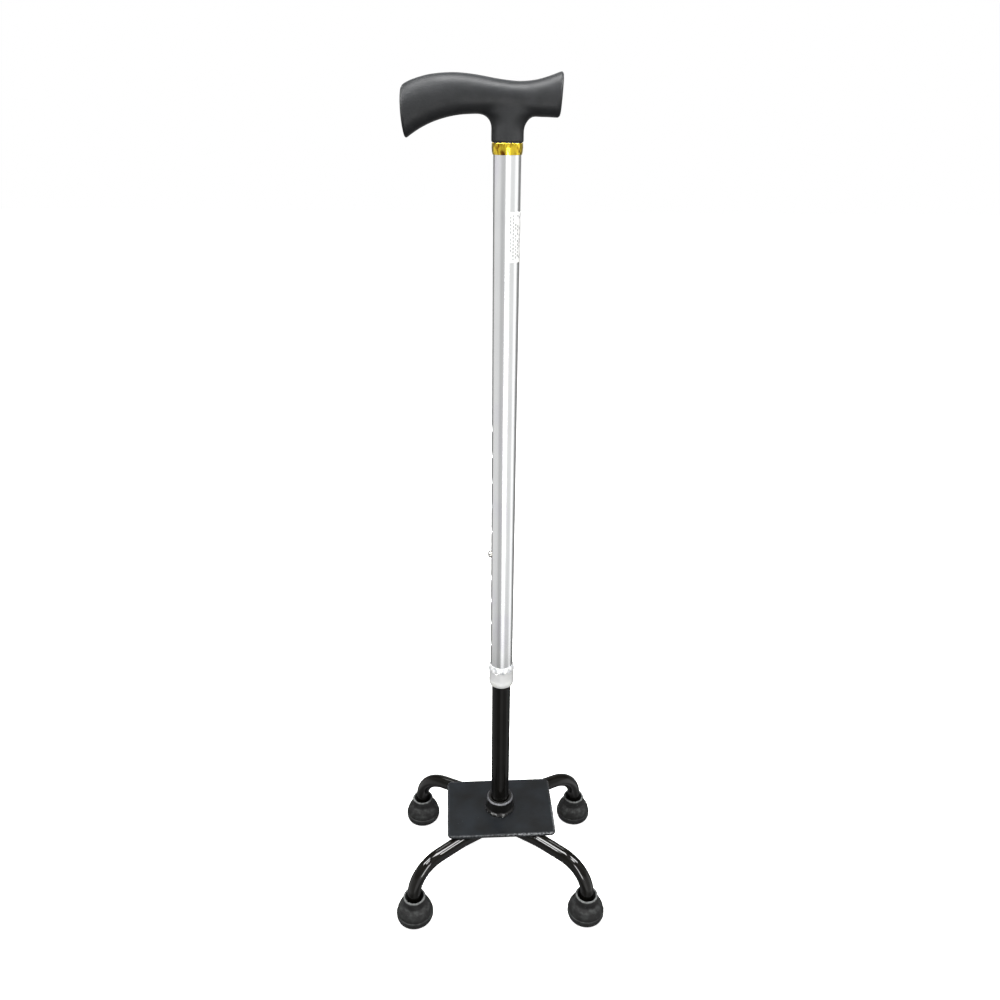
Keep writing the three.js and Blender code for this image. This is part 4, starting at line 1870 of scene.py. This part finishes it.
        def hexagon(r: float, height: float, bearing: float) -> Point2:
            """Flattens the bolt's head into a hexagon.

            Args:
                r: A point's radius.
                height: Its height.
                bearing: Its bearing.

            Returns:
                Its new radius and height.
            """
            if height > seat or r < self.bolt + 0.01:
                return r, height
            off = (bearing + math.pi / 6) % (math.pi / 3) - math.pi / 6
            return min(r, self.across_flats / 2 / math.cos(off)), height

        return revolve("hex_bolt", outline, 96, hexagon)

    def washer(self) -> bpy.types.Object:
        """Makes the washer under the bolt's head, with its edges broken.

        Returns:
            The shaded washer.
        """
        low, high = box_mm("base_washer")
        outer = radius_mm("base_washer")
        inner = self.bolt + 0.3
        outline = [(inner, low.z, 0.15), (outer, low.z, 0.3), (outer, high.z, 0.3), (inner, high.z, 0.15)]
        return revolve("bolt_washer", filleted(outline), 72)


@dataclass
class Legs(Assembly):
    """The two bent tubes under the plate, each one a pair of legs, and the welds that hold them."""

    radius: float = 7.2
    wall: float = 1.5
    slope: float = 9.0
    reach: float = 60.0
    splay: float = 11.0
    foot_bend: float = 38.0
    ease_bend: float = 60.0
    plate_bend: float = 30.0
    sides: int = 40
    bead: float = 1.5
    bead_pitch: float = 2.4
    bead_run: Point2 = (16.0, 44.0)  # how far from the middle the welds start and end

    def build(self) -> None:
        """Makes both tubes and their welds."""
        for side, place, feet in ((-1, "front", ("fl", "fr")), (1, "rear", ("rl", "rr"))):
            path = self.path(side, feet)
            bm = bmesh.new()
            hollow_sweep(bm, path, self.radius, self.radius - self.wall, self.sides)
            tube = shade(object_from(f"leg_pair_{place}", bm), 50)
            self.install(tube, Body.BASE, f"leg_tube_{place}")
            for way, hand in ((-1, "left"), (1, "right")):
                for flank in (-1, 1):
                    edge = "outer" if flank == side else "inner"
                    name = f"weld_{place}_{hand}_{edge}"
                    seed = 3 * side + way + flank
                    bead = weld_bead(name, self.weld_path(path, way, flank), self.bead, self.bead_pitch, seed)
                    self.install(bead, Body.BASE)

    def dress(self) -> None:
        """Enamels the tubes and their welds."""
        for name in self.pieces:
            self.coat(name, ENAMEL)

    def path(self, side: int, feet: tuple[str, str]) -> list[Vector]:
        """Routes a leg tube's centreline, from the left foot to the right one.

        Args:
            side: -1 for the front tube, 1 for the rear one.
            feet: The names of its two feet.

        Returns:
            The centreline's points.
        """
        run = box_mm("base_plate")[0].z - SEAT - self.radius
        drop = self.reach * math.tan(math.radians(self.slope))
        middle = Vector((0, side * self.splay, run))
        halves = []
        for foot in feet:
            middle_of_foot = middle_mm("rubber_foot_" + foot)
            end = box_mm("foot_washer_" + foot)[1].z + SEAT
            top = Vector((middle_of_foot.x, middle_of_foot.y, run - drop))
            inward = Vector((middle.x - top.x, middle.y - top.y, 0)).normalized()
            ease = Vector((top.x, top.y, run)) + inward * self.reach
            halves.append([Vector((top.x, top.y, end)), top, ease])
        vertices = [*halves[0], middle, *reversed(halves[1])]
        radii = [self.foot_bend, self.ease_bend, self.plate_bend, self.ease_bend, self.foot_bend]
        return spaced(bent_path(vertices, radii), 6.0)

    def weld_path(self, path: Sequence[Vector], way: int, flank: int) -> list[Vector]:
        """Routes a weld in the corner between a leg and the plate, from near the middle to the plate's edge.

        Args:
            path: The leg tube's centreline.
            way: -1 for the left leg, 1 for the right one.
            flank: -1 for the leg's front side, 1 for its back.

        Returns:
            The weld's points.
        """
        run = box_mm("base_plate")[0].z - SEAT - self.radius
        nearest, furthest = self.bead_run
        level = [p for p in path if abs(p.z - run) < 0.05 and nearest < way * p.x < furthest]
        level.sort(key=lambda p: abs(p.x))
        first, last = level[0], level[-1]
        along = (last - first).normalized()
        across = Vector((-along.y, along.x, 0))
        across *= math.copysign(1, across.y) * flank
        out = self.radius * 0.72
        up = math.sqrt(self.radius**2 - out**2) + 0.5
        return [p + across * out + Vector((0, 0, up)) for p in (first, last)]


@dataclass
class Feet(Assembly):
    """The four rubber feet, with the steel washers inside them."""

    mouth: float = 9.4
    bore: float = 7.5
    floor: float = 8.0
    waist: float = 12.1
    sag: float = 0.3
    sides: int = 96

    def build(self) -> None:
        """Makes each foot and its washer."""
        for number, corner in enumerate(("fl", "fr", "rl", "rr")):
            self.install(self.foot(corner, number), Body.BASE, "rubber_foot_" + corner)
            self.install(self.washer(corner), Body.BASE, "foot_washer_" + corner)

    def dress(self) -> None:
        """Gives each piece its finish."""
        for name in self.pieces:
            self.coat(name, RUBBER if name.startswith("ferrule_foot") else ZINC)

    def place(self, node: str) -> Matrix:
        """The middle of a foot on the floor, as a move from the origin."""
        middle = middle_mm(node)
        return Matrix.Translation((middle.x, middle.y, 0))

    def foot(self, corner: str, number: int) -> bpy.types.Object:
        """Makes one foot: a ribbed sole, a broad ring, a dome with a step, and a neck with a lipped mouth.

        Args:
            corner: Which foot.
            number: Its number, which turns its unevenness.

        Returns:
            The shaded foot.
        """
        node = "rubber_foot_" + corner
        wide, top = radius_mm(node), box_mm(node)[1].z
        waist, mouth = self.waist, self.mouth
        sole = [
            (0, 1.6), (8.4, 1.6, 0.3), (9.2, 0, 0.3), (11.2, 0, 0.3), (11.6, 1.1, 0.3), (12.4, 1.1, 0.3),
            (12.8, 0, 0.3), (14.6, 0, 0.3), (14.9, 0.9, 0.3), (15.6, 0.9, 0.2), (15.9, 0.1, 0.3),
        ]
        dome = [
            (16.8, 0.25, 0.8), (18.5, 1.7, 1.5), (wide, 4.7, 2.5), (wide, 8.8, 0.4), (wide - 1.0, 9.3, 0.2),
            (wide - 1.0, 10.0, 0.3), (18.7, 10.6, 0.5), (18.3, 13.4, 4.0), (16.3, 17.8, 2.5),
            (12.9, 20.2, 0.7),
        ]
        neck = [(waist, 21.2, 1.0), (waist, top - 1.4, 0.9), (11.4, top, 0.5), (mouth + 0.4, top - 0.3, 0.4)]
        inside = [(self.bore, 21, 2.0), (self.bore, self.floor, 0.4), (0, self.floor)]

        def moulded(r: float, z: float, bearing: float) -> Point2:
            """Makes the dome and the neck a little uneven, as soft rubber is.

            Args:
                r: A point's radius.
                z: Its height.
                bearing: Its bearing.

            Returns:
                Its new radius and height.
            """
            if r < waist - 0.3 or z < 3 or abs(r - wide) < 0.1:
                return r, z
            uneven = noise.noise(Vector((math.cos(bearing) * 2, math.sin(bearing) * 2, z / 8 + 7 * number)))
            return r - self.sag * abs(uneven), z

        where = self.place(node)
        profile = filleted([*sole, *dome, *neck, *inside], closed=False, step=14)
        foot = revolve("ferrule_foot_" + corner, profile, self.sides, moulded, where)
        centre = where.to_translation()
        paint_wear_and_highlight(foot, lambda p: float(p.z > top - 1.1 and (p - centre).xy.length > mouth + 0.5))
        return foot

    def washer(self, corner: str) -> bpy.types.Object:
        """Makes the steel disc in a foot, with its edge broken.

        Args:
            corner: Which foot.

        Returns:
            The shaded disc.
        """
        node = "foot_washer_" + corner
        low, high = box_mm(node)
        out = radius_mm(node)
        outline = [(0, low.z), (out, low.z, 0.25), (out, high.z, 0.25), (0, high.z)]
        return revolve("foot_disc_" + corner, filleted(outline, closed=False), 48, axis=self.place(node))


# ---------------------------------------------------------------- studio


@dataclass
class Studio:
    """The floor, the light and the camera."""

    # Brightness of the surround by bearing, in degrees from the front, with the right as positive.
    panels: tuple[Point2, ...] = (
        (-180, 1.0), (-164, 0.9), (-152, 0.22), (-130, 0.22), (-118, 0.92), (-60, 0.89),
        (-44, 0.62), (-14, 0.62), (-5, 1.82), (20, 1.62), (30, 0.95), (66, 0.95),
        (76, 1.45), (98, 1.45), (110, 0.3), (150, 0.24), (160, 0.9), (180, 1.0),
    )
    # How much of it there is by height, from straight down at -1 to straight up at 1.
    heights: tuple[Point2, ...] = (
        (-1, 0.6), (-0.85, 0.4), (-0.7, 0.3), (-0.61, 0.4), (-0.55, 1.0), (0.02, 1.0), (0.15, 0.4), (1, 0.38),
    )
    # Each lamp's name, place, target, size and power, and whether it lights surfaces or only shows in gloss.
    lamps: tuple[Lamp, ...] = (
        ("top_softbox", (-80, -300, 2100), (0, 0, 600), (1.0, 0.7), 80.0, True),
        ("back_softbox", (150, 1000, 1300), (0, 0, 300), (0.8, 0.3), 1.6, True),
        ("left_glint", (-1050, -150, 1300), (0, 0, 60), (0.34, 0.6), 30.0, False),
        ("right_glint", (1050, -150, 1300), (0, 0, 60), (0.34, 0.6), 30.0, False),
        ("left_rear_glint", (-560, 900, 1150), (0, 0, 60), (0.2, 0.2), 1.8, False),
        ("right_rear_glint", (560, 900, 1150), (0, 0, 60), (0.2, 0.2), 1.8, False),
        ("left_bend_glint", (-620, -720, 1250), (0, 0, 60), (0.3, 0.3), 12.0, False),
        ("right_bend_glint", (620, -720, 1250), (0, 0, 60), (0.3, 0.3), 12.0, False),
        ("front_glint", (130, -1100, 200), (0, 0, 60), (0.14, 0.7), 9.0, False),
    )
    floor_size: float = 14.0
    lens: float = 30.38
    sensor: float = 36.0
    camera_at: Point3 = (-19.913, -710.255, 785.011)
    yaw: float = -1.356
    tilt: float = 24.614
    roll: float = 0.55

    def build(self) -> None:
        """Sets up everything that isn't part of the object."""
        scene = bpy.context.scene
        scene.view_settings.view_transform = "Standard"
        self.camera(scene)
        self.floor()
        self.surround(scene)
        for lamp in self.lamps:
            self.lamp(*lamp)

    def camera(self, scene: bpy.types.Scene) -> None:
        """Stands the camera in front of the cane, at about its handle's height, tilted down.

        Args:
            scene: The scene that is seen through it.
        """
        data = bpy.data.cameras.new("view")
        data.sensor_width = self.sensor
        data.lens = self.lens
        camera = bpy.data.objects.new("view", data)
        yaw, tilt, roll = (math.radians(a) for a in (self.yaw, self.tilt, self.roll))
        ahead = Vector((-math.sin(yaw) * math.cos(tilt), math.cos(yaw) * math.cos(tilt), -math.sin(tilt)))
        level = Vector((math.cos(yaw), math.sin(yaw), 0))
        above = level.cross(ahead)
        right = level * math.cos(roll) + above * math.sin(roll)
        up = above * math.cos(roll) - level * math.sin(roll)
        turn = Matrix((right, up, -ahead)).transposed().to_4x4()
        camera.matrix_world = Matrix.Translation(Vector(self.camera_at) * MM) @ turn
        scene.collection.objects.link(camera)
        scene.camera = camera

    def floor(self) -> None:
        """Lays a plain pale floor, which glows so that it stays white, and which nothing mirrors."""
        bm = bmesh.new()
        bmesh.ops.create_grid(bm, x_segments=2, y_segments=2, size=self.floor_size / 2 / MM)
        floor = object_from("floor", bm)
        material = bpy.data.materials.new("pale_floor")
        material.use_nodes = True
        tree = material.node_tree
        tree.nodes.clear()
        values = {
            "Base Color": linear("#f2f2f1"),
            "Roughness": 0.9,
            "Specular IOR Level": 0.0,
            "Emission Color": (1, 1, 1, 1),
            "Emission Strength": 0.82,
        }
        shader = add_node(tree, "ShaderNodeBsdfPrincipled", values)
        add_node(tree, "ShaderNodeOutputMaterial", {"Surface": shader.outputs["BSDF"]})
        floor.data.materials.append(material)
        floor.visible_glossy = False
        floor.visible_diffuse = False

    def surround(self, scene: bpy.types.Scene) -> None:
        """Surrounds the object with soft panels of light, and shows the camera a white backdrop.

        Args:
            scene: The scene that they light.
        """
        world = bpy.data.worlds.new("studio")
        world.use_nodes = True
        tree = world.node_tree
        tree.nodes.clear()
        way = add_node(tree, "ShaderNodeTexCoord").outputs["Generated"]
        parts = add_node(tree, "ShaderNodeSeparateXYZ", {"Vector": way}).outputs
        turned = {0: parts["Y"], 1: -1.0}
        front = add_node(tree, "ShaderNodeMath", turned, {"operation": "MULTIPLY"}).outputs["Value"]
        both = {0: parts["X"], 1: front}
        bearing = add_node(tree, "ShaderNodeMath", both, {"operation": "ARCTAN2"}).outputs["Value"]
        glow: Any = None
        for along, reach, table in ((bearing, math.pi, self.panels), (parts["Z"], 1.0, self.heights)):
            share = {"Value": along, "From Min": -reach, "From Max": reach}
            along_table = add_node(tree, "ShaderNodeMapRange", share).outputs["Result"]
            ramp = add_node(tree, "ShaderNodeValToRGB", {"Fac": along_table})
            span = -table[0][0]
            stops = ramp.color_ramp.elements
            for place, _ in table[1:-1]:
                stops.new((place + span) / (2 * span))
            for stop, (place, bright) in zip(stops, table):
                stop.position = (place + span) / (2 * span)
                stop.color = (bright, bright, bright, 1)
            values = {0: ramp.outputs["Color"], 1: glow or 1.0}
            glow = add_node(tree, "ShaderNodeMath", values, {"operation": "MULTIPLY"}).outputs["Value"]
        lit = add_node(tree, "ShaderNodeBackground", {"Color": (1, 1, 1, 1), "Strength": glow})
        white = add_node(tree, "ShaderNodeBackground", {"Color": (1, 1, 1, 1), "Strength": 1.0})
        seen = add_node(tree, "ShaderNodeLightPath").outputs["Is Camera Ray"]
        mixed = add_node(tree, "ShaderNodeMixShader", {0: seen, 1: lit.outputs[0], 2: white.outputs[0]})
        add_node(tree, "ShaderNodeOutputWorld", {"Surface": mixed.outputs[0]})
        scene.world = world

    def lamp(
        self,
        name: str,
        place: Point3,
        target: Point3,
        size: Point2,
        power: float,
        lights: bool,
    ) -> None:
        """Hangs a rectangular lamp.

        Args:
            name: The lamp's name.
            place: Where it hangs, in millimetres.
            target: What it faces, in millimetres.
            size: Its width and height, in metres.
            power: Its power, in watts.
            lights: Whether it lights surfaces, as well as showing in glossy ones.
        """
        data = bpy.data.lights.new(name, "AREA")
        data.shape = "RECTANGLE"
        data.size, data.size_y = size
        data.energy = power
        lamp = bpy.data.objects.new(name, data)
        start = Vector(place) * MM
        lamp.location = start
        lamp.rotation_euler = (Vector(target) * MM - start).to_track_quat("-Z", "Y").to_euler()
        lamp.visible_diffuse = lights
        bpy.context.scene.collection.objects.link(lamp)


def main() -> None:
    """Builds the studio, and then builds and dresses each sub-assembly in order."""
    logging.basicConfig(level=logging.INFO, format="%(name)s: %(message)s")
    Studio().build()
    for kind in (Handle, UpperShaft, LockNut, SnapButton, LowerShaft, BasePlate, Legs, Feet):
        assembly = kind()
        assembly.build()
        assembly.dress()


if __name__ == "__main__":
    main()
